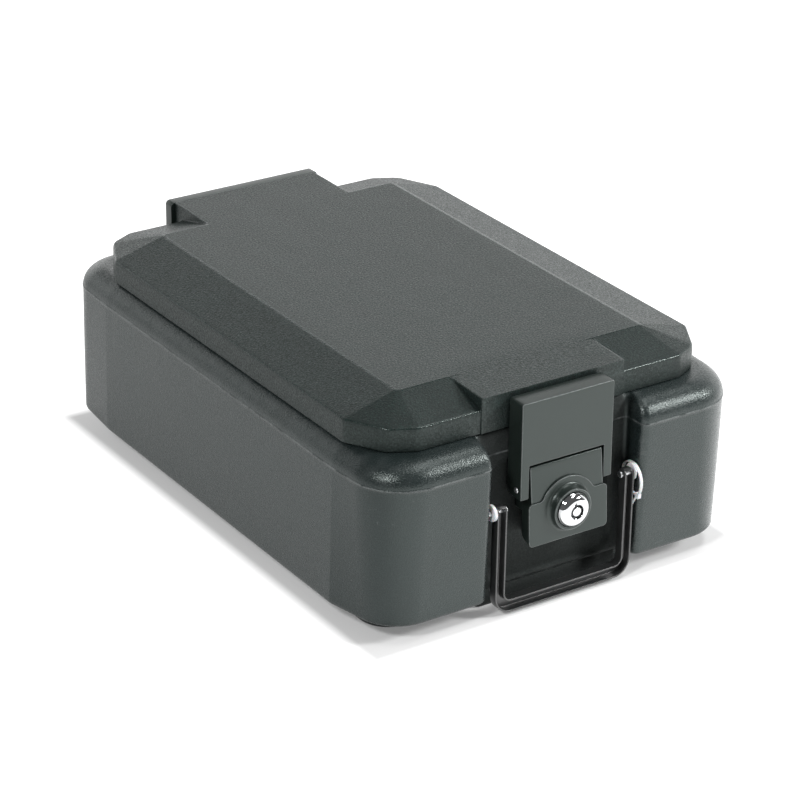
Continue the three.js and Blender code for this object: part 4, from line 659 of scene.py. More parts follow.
def strike_shares():
    """Shares of the front tongue's face at which points stand: even, with close pairs at
    the strike pocket's sides."""
    reach = FRONT_TONGUE[0] - 1
    even = np.linspace(-1, 1, 41)[1:-1] * reach
    sides = np.array([-0.5, 0.5]) + STRIKE_HALF_WIDTH
    keep = np.abs(np.abs(even) - STRIKE_HALF_WIDTH).round(3) > 1.2
    x = np.sort(np.concatenate([even[keep], -sides, sides]))
    return (x + reach) / (2 * reach)


LID_RUNS = [8, 10, 4, 4, 60, 4, 4, 10, 8, 30, 8, 10, 4, 4, 60, 4, 4, 10, 8, strike_shares()]


def lid_places():
    """Where the lid's outline meets the ring below it, as in 'places'."""
    straight = LID_RING_HALF[0] - LID_RING_RADIUS
    f, r = FRONT_TONGUE[0] / straight, REAR_TONGUE[0] / straight
    near = [(f - 0.05, f - 0.03), (f - 0.01, f + 0.02), (0.97, 1.1), (1.3, 1.7), (1.9, 2.1)]
    far = [(a - f + r if a < 0.9 else a, b - f + r if b < 0.9 else b) for a, b in near]
    return places(lid_corners(0, 0), LID_RUNS, near, far)


def lid_skin(crown_round):
    """Lid moulding as rings from the underside out over the rim, up the bevels and in to
    the middle line. The tongues keep their reach while the bevels draw back, so their
    sides stand upright. The front tongue falls by its drop from the crown to its end."""
    place = lid_places()
    width, radius = LID_RING_WIDTH, LID_RING_RADIUS
    under = [
        inset_ring(LID_RING_HALF, width + 12, radius - width, LID_FOOT, place),
        inset_ring(LID_RING_HALF, width, radius - width, LID_FOOT, place),
        inset_ring(LID_RING_HALF, width, radius - width, LID_RING_FOOT, place),
        inset_ring(LID_RING_HALF, 0, radius, LID_RING_FOOT, place),
        inset_ring(LID_RING_HALF, 0, radius, LID_FOOT, place),
    ]

    def ring(share, run, z):
        return raised(outline(lid_corners(share, run), LID_RUNS), z)

    crown = ring(1, 0, LID_TOP)
    on_tongue = np.abs(crown[:, 1]) > CROWN_REAR + 1
    crown_reach = np.where(on_tongue, TONGUE_ROUND, crown_round)
    rim_reach = np.where(on_tongue, 0.0, RIM_ROUND)
    levels = list(np.linspace(LID_FOOT + 1.2, RIM_TOP - 3, 9))
    levels += [STRIKE_Z[0] - 0.4, STRIKE_Z[0] + 0.4]
    side = [ring(0, 0, z) for z in sorted(levels)]
    shares = np.linspace(0, 1, 12)
    climb = RIM_TOP + (LID_TOP - RIM_TOP) * shares
    bevel = [ring(s, 0.3 * (1 - s), z) for s, z in zip(shares[1:-1], climb[1:-1])]
    rings = under + [ring(0, 0, LID_FOOT)] + side + [ring(0, 0.3, RIM_TOP)] + bevel + [crown]
    reach = [0, 0.6, 0.8, 0.8, 0.6, 0.6] + [0] * len(side) + [rim_reach] + [0] * len(bevel)
    reach += [crown_reach]
    for draw in np.linspace(0, 1, 9)[1:]:
        rings.append(crown * [1 - draw, 1, 1])
        reach.append(0)
    made, near = eased(rings, reach, 5)
    x, y, z = made[..., 0], made[..., 1], made[..., 2]
    lift = smooth(z, RIM_TOP - 6, LID_TOP)
    inside = np.abs(x) < FRONT_TONGUE[0] + 0.01
    fall = (-y - TONGUE_DROP_START) / (FRONT_TONGUE[1] - TONGUE_DROP_START)
    z -= np.where(inside, TONGUE_DROP * np.clip(fall, 0, 1) * lift, 0)
    pocket = (
        smooth(-np.abs(x), -STRIKE_HALF_WIDTH - 0.5, -STRIKE_HALF_WIDTH + 0.5)
        * (z > STRIKE_Z[0])
        * (z < STRIKE_Z[1])
        * (y < -FRONT_TONGUE[1] + 0.2)
    )
    y += STRIKE_DEPTH * pocket
    return loft(made, near, last_cap=False)


def weld(made):
    """Joins points that lie on each other, such as the two sides of a middle line."""
    work = bmesh.new()
    work.from_mesh(made.data)
    bmesh.ops.remove_doubles(work, verts=work.verts, dist=WELD_DISTANCE)
    bmesh.ops.dissolve_degenerate(work, edges=work.edges, dist=WELD_DISTANCE / 10)
    work.to_mesh(made.data)
    work.free()
    made.data.shade_smooth()


# Latch and lock


def lever_skin(edge):
    """Latch lever: a plate with a notch open below and a hook behind its upper edge. The
    front leans back by 1 mm over its height, and the back of its foot is cut by a quarter
    circle of the heel radius."""
    low, high = LEVER_Z
    slope = (LEVER_FRONT_TOP_Y - LEVER_FRONT_FOOT_Y) / (high - low)

    def ring(run, y, lift=0.0):
        notch, outer = NOTCH_HALF_WIDTH + run, LEVER_HALF_WIDTH - run
        foot = low + run + lift
        rows = [
            (-outer, foot, 0.9, 3),
            (-notch, foot, 0.9, 3),
            (-notch, NOTCH_TOP + run, 0.6, 2),
            (notch, NOTCH_TOP + run, 0.6, 2),
            (notch, foot, 0.9, 3),
            (outer, foot, 0.9, 3),
            (outer, high - run, 1.4, 5),
            (-outer, high - run, 1.4, 5),
        ]
        return upright(outline(rows, [2, 8, 12, 8, 2, 20, 20, 20]), y)

    def front(z):
        return LEVER_FRONT_FOOT_Y + slope * (z - low)

    r = HEEL_RADIUS
    rings = [ring(edge * 2.5, LEVER_REAR_Y, r), ring(0, LEVER_REAR_Y, r)]
    for a in np.linspace(0, np.pi / 2, 7)[1:]:
        rings.append(ring(0, LEVER_REAR_Y - r * (1 - np.cos(a)), r * (1 - np.sin(a))))
    reach = [0, 0.5] + [0] * (len(rings) - 2) + [edge, 0]
    rings += [ring(0, front), ring(edge * 2.5, front)]
    root = LEVER_REAR_Y - 0.5
    hook = np.array([(root, 138.5), (HOOK_Y, 140.2), (HOOK_Y, 144.1), (root, 144.5)])
    return merged([solid(rings, reach, 5), prism(hook, -HOOK_HALF_WIDTH, HOOK_HALF_WIDTH, 0.4)])


def block_skin(edge):
    """Lock block behind the cover: its side view drawn along X with rounded ends, and the
    two mounting blocks behind it."""
    y0, y1 = BLOCK_Y
    z0, z1 = BLOCK_Z
    rows = [
        (y0, z0, 0.6, 3),
        (y1, z0, 6.5, 10),
        (y1, z1, 1.0, 4),
        (BLOCK_TOP_Y, z1, 0.8, 4),
        (y0, BLOCK_BEND_Z, 4.0, 3),
    ]
    parts = [prism(outline(rows, [6, 20, 6, 10, 10]), -BLOCK_HALF_WIDTH, BLOCK_HALF_WIDTH, edge)]
    for half, low, high in MOUNTS:
        side = rectangle((MOUNT_Y[0], low), (MOUNT_Y[1], high), 0.6, 2, [3, 6, 3, 6])
        parts.append(prism(side, -half, half, 0.6))
    return merged(parts)


def cover_shape():
    """The cover's outline about the lock's axis: a rounded rectangle with an arch over the
    lock. Each end of the arch meets the rectangle's top in a hollow arc, which touches both.
    Returns (x, z) points, counterclockwise seen from the front."""
    z0, z1 = COVER_Z
    lift = z1 + COVER_ARCH_FILLET - COVER_ARCH_Z
    span = COVER_ARCH_RADIUS + COVER_ARCH_FILLET
    meet = math.asin(lift / span)
    angle = np.linspace(meet, np.pi - meet, 56)
    arch = np.column_stack([np.cos(angle), np.sin(angle)]) * COVER_ARCH_RADIUS + [0, COVER_ARCH_Z]
    bend = np.linspace(-np.pi / 2, meet - np.pi, 9)[:-1]
    hollow = np.column_stack([np.cos(bend), np.sin(bend)]) * COVER_ARCH_FILLET
    hollow += [span * math.cos(meet), z1 + COVER_ARCH_FILLET]
    arch = np.concatenate([hollow, arch, hollow[::-1] * [-1, 1]])
    steps = 8
    ring = rectangle((COVER_HALF_WIDTH, z1), (-COVER_HALF_WIDTH, z0), 3, steps, [2, 40, 60, 40])
    right, rest = ring[: steps + 1], ring[steps + 2 :]
    share = np.linspace(0, 1, 5)[1:-1][:, None]
    join_right = right[-1] + (arch[0] - right[-1]) * share
    join_left = arch[-1] + (rest[0] - arch[-1]) * share
    return np.concatenate([right, join_right, arch, join_left, rest])


def block_face(z):
    """How far forward the lock block's front stands at a height: level up to its bend,
    then leaning back to its top."""
    low, high = BLOCK_BEND_Z, BLOCK_Z[1]
    share = np.clip((z - low) / (high - low), 0, 1)
    return BLOCK_Y[0] + (BLOCK_TOP_Y - BLOCK_Y[0]) * share


def cover_skin(edge):
    """Lock cover: rings about the lock's axis. The seat's mouth is a circle, the boss is a
    steep cone with a hollow foot, drawn as a cubic Bezier curve through the control points
    of its flare, and the last rings turn into the cover's outline, whose edge is rounded.
    Between circle and outline each point moves along its own ray. The front leans back with
    height."""
    shape = cover_shape() - [0, LOCK_Z]
    reach = np.linalg.norm(shape, axis=1)
    ray = shape / reach[:, None]

    def ring(radius, y):
        return upright(ray * np.broadcast_to(radius, reach.shape)[:, None] + [0, LOCK_Z], y)

    def front(z):
        return COVER_FRONT_Y + COVER_LEAN * (z - COVER_Z[0])

    def back(z):
        return block_face(z) - 0.05

    def flared(share):
        return lambda z: front(z) + (BOSS_LIP_Y - front(z)) * share

    bore, seat, mouth = BOSS_SEAT_RADII
    rings = [ring(bore, BOSS_SEAT_Y), ring(seat, BOSS_SEAT_Y), ring(mouth, BOSS_LIP_Y)]
    rings.append(ring(BOSS_LIP_RADIUS, BOSS_LIP_Y))
    steps = np.linspace(0, 1, 13)
    for t in steps:
        weights = ((1 - t) ** 3, 3 * t * (1 - t) ** 2, 3 * t**2 * (1 - t), t**3)
        radius, share = (sum(w * at[i] for w, at in zip(weights, BOSS_FLARE)) for i in (0, 1))
        rings.append(ring(radius, flared(share)))
    rings += [ring(BOSS_FOOT_RADIUS + 0.3, front), ring(reach - edge * 2.5, front), ring(reach, front)]
    rings += [ring(reach, back), ring(reach - 2.0, back)]
    return solid(rings, [0, 0.3, 0.5, 0.85] + [0] * len(steps) + [0, 0, edge, 0.3, 0], 4)


def lock_body_skin():
    """Lock head: a profile of (radius, y) turned about the lock's axis. Its dome is a part of
    a circle, and the key's notch a bump of the bore's radius at one angle. The bore's wall
    between the last ring and the first is turned the other way round, which is a fault of
    the mesh, and darkens the keyway."""
    columns = 180
    face = LOCK_FACE_Y
    bend = LOCK_DOME_BEND
    flat, run = LOCK_DOME_RADIUS
    profile = [(LOCK_BORE, face + 5.2), (LOCK_BORE, face + 0.1), (6.0, face)]
    for t in np.linspace(0, bend, 14):
        radius = flat + run * math.sin(t) / math.sin(bend)
        profile.append((radius, face + LOCK_DOME_FALL * (1 - math.cos(t)) / (1 - math.cos(bend))))
    profile += [(LOCK_HEAD[0], face + 4.2), LOCK_HEAD, (LOCK_BARREL[0], LOCK_HEAD[1]), LOCK_BARREL]
    profile.append((LOCK_BORE, LOCK_BARREL[1]))
    made, near = profile_eased(profile, 0.2)
    rings = turned_skin(made, (0, LOCK_Z), 1, columns)
    angle = np.arctan2(rings[..., 2] - LOCK_Z, rings[..., 0])
    radius = np.hypot(rings[..., 2] - LOCK_Z, rings[..., 0])
    swing = np.abs((angle - math.radians(KEY_NOTCH_DEGREES) + np.pi) % (2 * np.pi) - np.pi) * 5.6
    bump = 1 - smooth(swing, 0.75, 1.05)
    grown = np.where(radius < 5.6, 5.0 + 1.6 * bump, radius)
    grown = np.where((radius >= 5.6) & (radius < 7.2), np.maximum(radius, 6.7 * bump), grown)
    rings[..., 0] = grown * np.cos(angle)
    rings[..., 2] = LOCK_Z + grown * np.sin(angle)
    points, faces, edge = loft(rings, near, looped=True)
    faces[-columns:] = [[a, d, c, b] for a, b, c, d in faces[-columns:]]
    return points, faces, edge


def lock_plug_skin():
    """Lock plug: the post inside the keyway ring and the shaft behind it, as one profile of
    (radius, y) turned about the lock's axis."""
    face = LOCK_FACE_Y + 0.3
    profile = [
        (0.02, face),
        (3.0, face),
        (3.3, face + 0.35),
        (3.3, face + 3.9),
        (4.85, face + 3.9),
        (4.85, -192.0),
        (3.7, -192.0),
        (3.7, -190.0),
        (0.02, -190.0),
    ]
    made, near = profile_eased(profile, 0.25)
    return loft(turned_skin(made, (0, LOCK_Z), 1, 96), near)


# Bail, cable tie and hinge


def bail_shape(run):
    """The bail's front view drawn in by a run: (x, z) points of a U with square corners of
    the bail's corner radius and round upper ends."""
    outer = BAIL_HALF_WIDTH - run
    inner = BAIL_HALF_WIDTH - BAIL_ARM + run
    foot, inner_foot, top = BAIL_FOOT + run, BAIL_FOOT + BAIL_BAR - run, BAIL_TOP - run
    outer_radius, inner_radius = BAIL_CORNER - run, BAIL_CORNER - BAIL_ARM + run
    tip = BAIL_TIP_RADIUS - run * 0.5
    rows = [
        (-outer, foot, outer_radius, 14),
        (outer, foot, outer_radius, 14),
        (outer, top, tip, 6),
        (inner, top, tip, 6),
        (inner, inner_foot, inner_radius, 10),
        (-inner, inner_foot, inner_radius, 10),
        (-inner, top, tip, 6),
        (-outer, top, tip, 6),
    ]
    return outline(rows, [30, 24, 2, 24, 30, 24, 2, 24])


def bail_skin():
    """Bail handle: a folded channel open to the front, as rings from its back out over the
    outer walls, round the lip and down into the channel. Near the upper ends the lip
    falls back along a quarter ellipse."""

    def lip(z):
        climb = np.clip((z - (BAIL_TOP - BAIL_LIP_RISE)) / BAIL_LIP_RISE, 0, 1)
        fall = BAIL_LIP_FALL * (1 - np.sqrt(1 - climb**2))
        return np.minimum(BAIL_FRONT_Y + fall, BAIL_REAR_Y - BAIL_LIP_DEPTH)

    floor = BAIL_REAR_Y - BAIL_SHEET
    path = [(1.8, BAIL_REAR_Y), (0, BAIL_REAR_Y), (0, lip), (BAIL_SHEET, lip)]
    path += [(BAIL_SHEET, floor), (2.6, floor)]
    rings = [upright(bail_shape(run), y) for run, y in path]
    return solid(rings, [0, 1.1, 0.45, 0.45, 0.7, 0], 5)


def closed_spline(knots, count):
    """Points and directions on a closed Catmull-Rom curve through knots: on each span the
    cubic with the neighbours' half difference as its slopes."""
    knots = np.asarray(knots, float)
    at = np.arange(count) / count * len(knots)
    i = at.astype(int)
    t = (at - i)[:, None]
    p0, p1, p2, p3 = (knots[(i + k) % len(knots)] for k in (-1, 0, 1, 2))
    m1, m2 = (p2 - p0) / 2, (p3 - p1) / 2
    place = (2 * t**3 - 3 * t**2 + 1) * p1 + (t**3 - 2 * t**2 + t) * m1
    place += (-2 * t**3 + 3 * t**2) * p2 + (t**3 - t**2) * m2
    slope = (6 * t**2 - 6 * t) * p1 + (3 * t**2 - 4 * t + 1) * m1
    slope += (-6 * t**2 + 6 * t) * p2 + (3 * t**2 - 2 * t) * m2
    return place, slope / np.linalg.norm(slope, axis=1)[:, None]


def tie_skin():
    """Cable tie: a flat strap's section, a rounded rectangle with shallow ribs on the inner
    face, carried round the loop's middle line, and a head and a tapering tail as solids."""
    count = 180
    place, direction = closed_spline(TIE_LOOP, count)
    out = np.column_stack([-direction[:, 1], direction[:, 0]])
    x0, x1 = TIE_X
    width, thick = (x1 - x0) / 2, TIE_THICKNESS / 2
    section = rectangle((-width, -thick), (width, thick), 0.3, 3, [4, 1, 4, 1])
    rib = TIE_RIB * (np.arange(count) % 2)[:, None] * (np.abs(section[:, 0]) < width * 0.7)
    depth = section[None, :, 1] * (1 - rib)
    x = (x0 + x1) / 2 + np.broadcast_to(section[None, :, 0], depth.shape)
    y = BAIL_Y + place[:, None, 0] + out[:, None, 0] * depth
    z = BAIL_Z + place[:, None, 1] + out[:, None, 1] * depth
    strap = loft(np.stack([x, y, z], -1), looped=True)
    centre = np.array([BAIL_Y + TIE_HEAD[0], BAIL_Z + TIE_HEAD[1]])
    head = rectangle(centre - TIE_HEAD_HALF, centre + TIE_HEAD_HALF, 0.9, 4, [2, 2, 2, 2])
    run = np.array(TIE_TAIL) - TIE_HEAD
    length = np.linalg.norm(run)
    along = run / length
    side = np.array([-along[1], along[0]])
    share = np.linspace(0, 1, 15)
    bow = side * (TIE_TAIL_BOW * np.sin(share * np.pi))[:, None]
    middle = centre + along * (share * length)[:, None] + bow
    start, loss = TIE_TAIL_TAPER
    taper = np.where(share > start, 1 - (share - start) / (1 - start) * loss, 1.0)
    x = (x0 + x1) / 2 + section[:, 0] * TIE_TAIL_SCALE * taper[:, None]
    tail = loft(np.dstack([x, middle[:, None] + side * section[:, 1:] * TIE_TAIL_SCALE]))
    return merged([strap, prism(head, x0, x0 + TIE_HEAD_WIDTH, 0.5), tail])


def pin_skin(x0, x1, radius, y, z, dome):
    """Pin along X with domed ends: a profile of (radius, x) whose ends run in by the dome
    along quarter ellipses."""
    turn = np.linspace(0.12, np.pi / 2, 7)
    start = np.column_stack([radius * np.sin(turn), x0 + dome * (1 - np.cos(turn))])
    end = np.column_stack([start[::-1, 0], x1 - (start[::-1, 1] - x0)])
    return loft(turned_skin(np.concatenate([start, end]), (y, z), 0))


def washer_skin(x0, x1, hole, radius, y, z):
    """Washer along X: a closed profile of (radius, x) with small rounded corners."""
    rows = [(hole, x0, 0.15, 2), (radius, x0, 0.35, 4), (radius, x1, 0.35, 4), (hole, x1, 0.15, 2)]
    return loft(turned_skin(outline(rows, [2, 1, 2, 1]), (y, z), 0), looped=True)


def hinge_half(half, span, corners, runs, depth, reach, knuckles, arm, gap, arm_reach):
    """One half of the hinge. Its plate, seen from the front, is a rectangle with its own
    corners below and above, and its rings go from the back round the edge to the front.
    Each knuckle is a profile of (radius, x) turned about the hinge line, with an arm of the
    same side view drawn along X beside it."""
    edge = reach[1]

    def ring(run, y):
        rows = [(-half + run, span[0] + run, *corners[0]), (half - run, span[0] + run, *corners[0])]
        rows += [(half - run, span[1] - run, *corners[1]), (-half + run, span[1] - run, *corners[1])]
        return upright(outline(rows, runs * 2), y)

    front, back = depth
    rings = [ring(edge * 2.5, back), ring(0, back), ring(0, front), ring(edge * 2.5, front)]
    parts = [solid(rings, reach, 4)]
    for x0, x1 in knuckles:
        profile = [(0.05, x0), (KNUCKLE_RADIUS, x0), (KNUCKLE_RADIUS, x1), (0.05, x1)]
        made, near = profile_eased(profile, 0.5)
        parts.append(loft(turned_skin(made, (HINGE_Y, HINGE_Z), 0), near))
        parts.append(prism(arm, x0 + gap, x1 - gap, arm_reach))
    return merged(parts)


def hinge_leaf_skin():
    """Hinge leaf on the lid: a plate behind the rear tongue with its two knuckles."""
    web = rectangle((201.4, 118), (209.4, 125.5), 0.3, 1, [3, 3, 3, 3])
    corners = ((1.5, 4), (3, 6))
    plate = (63, (124, 154), corners, [30, 8], (201.25, 209.6), [0, 0.9, 0.3, 0])
    return hinge_half(*plate, LEAF_KNUCKLES, web, 0.05, 0.4)


def hinge_bracket_skin():
    """Hinge bracket on the base: a plate on the recess wall and three arms, whose side view
    runs from the plate out to the knuckles."""
    rows = [
        (191.3, 100.5, 0.8, 2),
        (195.3, 104, 2.0, 4),
        (HINGE_Y, 113.6, 0.6, 2),
        (HINGE_Y, 122.4, 0.6, 2),
        (191.3, 121, 0.8, 2),
    ]
    arm = outline(rows, [2, 4, 3, 4, 6])
    corners = ((3, 5), (2, 4))
    plate = (58, (66, 121), corners, [24, 10], (188.8, 192.3), [0, 0.7, 0.2, 0])
    return hinge_half(*plate, BRACKET_KNUCKLES, arm, 0, 0.5)


# Finishes


def maths(operation, reflected=False):
    """Method that adds a Math node on a Wire and another value, the other one first where
    the operator is reflected."""

    def method(self, other):
        values = (other, self) if reflected else (self, other)
        return self.finish.math(operation, *values)

    return method


class Wire:
    """A value inside a finish. Python's operators on Wires and numbers add Math nodes."""

    __add__ = __radd__ = maths("ADD")
    __mul__ = __rmul__ = maths("MULTIPLY")
    __sub__ = maths("SUBTRACT")
    __rsub__ = maths("SUBTRACT", reflected=True)
    __pow__ = maths("POWER")
    most = maths("MAXIMUM")
    least = maths("MINIMUM")

    def __init__(self, finish, socket):
        self.finish = finish
        self.socket = socket

    def __abs__(self):
        return self.finish.math("ABSOLUTE", self)

    def fade(self, low, high):
        """0 at low, 1 at high, eased between."""
        return self.finish.node(
            "ShaderNodeMapRange",
            {"interpolation_type": "SMOOTHSTEP"},
            {"Value": self, "From Min": low, "From Max": high, "To Min": 0.0, "To Max": 1.0},
        )


class Nodes:
    """A node tree that is filled from Python expressions."""

    def __init__(self, tree, coordinates):
        self.tree = tree
        self.tree.nodes.clear()
        self.place = self.node("ShaderNodeTexCoord", output=coordinates)

    def node(self, kind, settings=None, inputs=None, output=0):
        """Adds a node, sets its settings, then its sockets from numbers or Wires."""
        made = self.tree.nodes.new(kind)
        for key, value in (settings or {}).items():
            setattr(made, key, value)
        for key, value in (inputs or {}).items():
            if isinstance(value, Wire):
                self.tree.links.new(value.socket, made.inputs[key])
            else:
                made.inputs[key].default_value = value
        return None if output is None else Wire(self, made.outputs[output])

    def math(self, operation, *values):
        return self.node("ShaderNodeMath", {"operation": operation}, dict(enumerate(values)))

    def axis(self, name):
        """One of X, Y and Z of the place."""
        return self.node("ShaderNodeSeparateXYZ", None, {0: self.place}, output=name)

    def ray(self, kind):
        """1 for rays of a kind, such as 'Is Camera Ray', else 0."""
        return self.node("ShaderNodeLightPath", output=kind)

    def stretched(self, x, y, z):
        """The place with each axis scaled."""
        return self.node(
            "ShaderNodeMapping", {"vector_type": "POINT"}, {"Vector": self.place, "Scale": (x, y, z)}
        )

    def noise(self, scale, detail, rough, place=None):
        """Noise of 0 to 1 at the place, or at a stretched one."""
        return self.node(
            "ShaderNodeTexNoise",
            None,
            {"Vector": place or self.place, "Scale": scale, "Detail": detail, "Roughness": rough},
        )

    def cells(self, scale, feature="F1"):
        """Distance to the nearest cell's centre."""
        inputs = {"Vector": self.place, "Scale": scale}
        return self.node("ShaderNodeTexVoronoi", {"feature": feature}, inputs, output="Distance")

    def tint(self, share, first, second):
        """Mix of two colours by a share."""
        inputs = {0: share, 6: first, 7: second}
        return self.node("ShaderNodeMix", {"data_type": "RGBA"}, inputs, output=2)

    def grey(self, level):
        """A colour whose three values are one level."""
        return self.node("ShaderNodeCombineColor", None, {0: level, 1: level, 2: level})


SOCKETS = {
    "colour": "Base Color",
    "roughness": "Roughness",
    "normal": "Normal",
    "metal": "Metallic",
    "specular": "Specular IOR Level",
    "mirror_tint": "Specular Tint",
    "coat": "Coat Weight",
    "coat_roughness": "Coat Roughness",
    "scatter": "Subsurface Weight",
    "scatter_scale": "Subsurface Scale",
    "glow": "Emission Color",
    "glow_strength": "Emission Strength",
}


class Finish(Nodes):
    """A procedural material: one principled shader and the nodes that vary it."""

    def __init__(self, name):
        self.material = bpy.data.materials.new(name)
        self.material.use_nodes = True
        super().__init__(self.material.node_tree, "Object")
        self.shader = self.tree.nodes.new("ShaderNodeBsdfPrincipled")
        out = self.tree.nodes.new("ShaderNodeOutputMaterial")
        self.tree.links.new(self.shader.outputs[0], out.inputs[0])

    def edge(self):
        """The piece's own edge value, 1 on a rounded edge."""
        return self.node("ShaderNodeAttribute", {"attribute_name": "edge"}, output="Fac")

    def ridge(self, radius):
        """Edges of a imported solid: how far its bevelled normal turns from its flat one."""
        flat = self.node("ShaderNodeNewGeometry", output="Normal")
        bevelled = self.node("ShaderNodeBevel", {"samples": 6}, {"Radius": radius})
        dot = {"operation": "DOT_PRODUCT"}
        turn = 1 - self.node("ShaderNodeVectorMath", dot, {0: flat, 1: bevelled}, output="Value")
        return turn.fade(0.0, 0.12)

    def bump(self, height, distance, strength, under=None):
        """Normal turned by a height, over another normal if there is one."""
        inputs = {"Height": height, "Distance": distance, "Strength": strength}
        if under is not None:
            inputs["Normal"] = under
        return self.node("ShaderNodeBump", None, inputs)

    def done(self, **sockets):
        """Sets the shader's sockets by their short names and returns the material."""
        for key, value in sockets.items():
            socket = self.shader.inputs[SOCKETS[key]]
            if isinstance(value, Wire):
                self.tree.links.new(value.socket, socket)
            else:
                socket.default_value = value
        return self.material


def shade(colour, factor):
    """A colour lightened or darkened by a factor, with an opaque fourth value."""
    return (colour[0] * factor, colour[1] * factor, colour[2] * factor, 1.0)


GREEN_MIRROR = (0.90, 1.0, 0.965, 1.0)
# Pale grey of scuffs and scratches, and of the painted edge highlight on the latch.
SCUFF_AND_HIGHLIGHT_COLOUR = (0.15, 0.16, 0.16, 1.0)


def grained_plastic(name, colour, grain):
    """Pebble-grained moulding: close cells that stand up a little from the surface, fine
    light and dark specks, faint flow bands along the length, smoother edges made paler by
    wear and a painted highlight, and sides below the rim darkened as painted shade."""
    f = Finish(name)
    cells = f.cells(1 / grain, feature="SMOOTH_F1")
    pebbles = 1 - cells.fade(0.05, 0.75)
    fine = f.noise(0.95 / grain, 2.0, 0.75)
    patches = f.noise(45, 3.0, 0.55)
    bands = f.noise(1.0, 2.0, 0.5, f.stretched(95, 9, 40))
    bright = fine.fade(0.50, 0.70)
    dark = 1 - fine.fade(0.32, 0.50)
    tone = patches * 0.5 + bands * 0.5
    base = f.tint(tone.fade(0.32, 0.68), shade(colour, 0.82), shade(colour, 1.20))
    edge_wear_and_highlight = f.edge() * f.noise(420, 3.0, 0.7).fade(0.34, 0.60)
    base = f.tint(dark * 0.6, base, shade(colour, 0.45))
    # Edges tinted paler: partly wear, partly a painted highlight. The light specks are grain.
    base = f.tint((edge_wear_and_highlight * 0.15 + bright * 0.50).least(1.0), base, shade(colour, 4.5))
    # Painted shade: the upright sides below the rim are darkened in colour.
    side = 1 - f.axis("Z").fade(RIM_TOP * MM - 0.0012, RIM_TOP * MM)
    base = f.tint(side * 0.3, base, shade(colour, 0.5))
    rough = 0.42 + patches * 0.06 - bright * 0.16 + dark * 0.22 - f.edge() * 0.20
    coarse = f.bump(pebbles * 0.6 + fine, grain * 0.16, 0.8)
    normal = f.bump(patches, 0.0006, 0.25, coarse)
    return f.done(colour=base, roughness=rough, normal=normal, specular=0.41, mirror_tint=GREEN_MIRROR)


def satin_plastic(name, colour):
    """Satin blow moulding: a very fine grain, slow ripples that break up the highlights,
    rubbed spots along the parting line and a few thin scratches. Inside the two recesses its
    colour is darkened as painted shade, and it is rougher."""
    f = Finish(name)
    grain = f.noise(900, 3.0, 0.65)
    ripple = f.noise(14, 2.0, 0.45)
    streak = f.noise(1.0, 3.0, 0.6, f.stretched(60, 60, 420))
    patches = f.noise(30, 4.0, 0.6)
    tone = patches * 0.5 + streak * 0.3 + grain * 0.2
    base = f.tint(tone.fade(0.34, 0.66), shade(colour, 0.90), shade(colour, 1.12))
    up = f.axis("Z")
    seam = 1 - abs(up - PARTING_HEIGHT * MM).fade(0.0003, 0.0010)
    rubbed = seam * f.noise(70, 3.0, 0.7).fade(0.36, 0.58)
    scratch_place = f.stretched(38, 38, 260)
    line = 1 - abs(f.noise(1.0, 1.0, 0.4, scratch_place) - 0.5).fade(0.0, 0.004)
    gate = f.noise(26, 1.0, 0.5).fade(0.66, 0.70)
    scratch = line * gate
    edge_wear_and_highlight = f.edge() * f.noise(120, 3.0, 0.6).fade(0.34, 0.66)
    light = (rubbed * 0.65 + scratch * 0.45 + edge_wear_and_highlight * 0.22).least(1.0)
    # Painted shade: the colour inside the front and rear recesses is darkened to 0.12 of the base colour.
    wider = f.axis("Y").fade(-0.05, 0.05) * 0.0075
    recess = 1 - (abs(f.axis("X")) - wider).fade(0.056, 0.061)
    recess = recess * abs(f.axis("Y")).fade(0.180, 0.186) * (1 - abs(f.axis("Y")).fade(0.190, 0.206))
    base = f.tint(recess, base, shade(colour, 0.12))
    base = f.tint(light, base, SCUFF_AND_HIGHLIGHT_COLOUR)
    rough = 0.18 + patches * 0.07 + rubbed * 0.15 + grain.fade(0.35, 0.65) * 0.12 + recess * 0.46
    low = f.bump(ripple, 0.0010, 0.30)
    normal = f.bump(grain, 0.00030, 0.8, low)
    return f.done(colour=base, roughness=rough, normal=normal, specular=0.46, mirror_tint=GREEN_MIRROR)


def latch_plastic(name, colour, packed=False):
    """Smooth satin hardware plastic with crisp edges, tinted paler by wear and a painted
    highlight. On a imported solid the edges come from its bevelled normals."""
    f = Finish(name)
    grain = f.noise(1900, 2.0, 0.6)
    patches = f.noise(60, 3.0, 0.55)
    edge = f.ridge(0.0007) if packed else f.edge()
    edge_wear_and_highlight = edge * (f.noise(300, 3.0, 0.6).fade(0.22, 0.6) * 0.6 + 0.4)
    base = f.tint(patches.fade(0.3, 0.7), shade(colour, 0.93), shade(colour, 1.08))
    # Painted highlight, partly wear: every edge is tinted towards a pale grey.
    base = f.tint(edge_wear_and_highlight * 0.75, base, SCUFF_AND_HIGHLIGHT_COLOUR)
    rough = 0.27 + patches * 0.10 + grain * 0.04
    normal = f.bump(grain, 0.00006, 0.5)
    return f.done(colour=base, roughness=rough, normal=normal, specular=0.5, mirror_tint=GREEN_MIRROR)


def black_enamel(name, colour):
    """Gloss enamel on folded steel: a slow orange peel, thin spots at the edges."""
    f = Finish(name)
    peel = f.noise(420, 2.0, 0.5)
    patches = f.noise(80, 3.0, 0.6)
    edge_wear_and_highlight = f.edge() * f.noise(260, 3.0, 0.6).fade(0.48, 0.66)
    base = f.tint(patches, shade(colour, 0.8), shade(colour, 1.3))
    base = f.tint(edge_wear_and_highlight * 0.35, base, (0.20, 0.20, 0.20, 1))
    rough = 0.32 + patches * 0.08 + edge_wear_and_highlight * 0.10
    normal = f.bump(peel, 0.00012, 0.35)
    return f.done(colour=base, roughness=rough, normal=normal, specular=0.65, coat=0.35, coat_roughness=0.2)


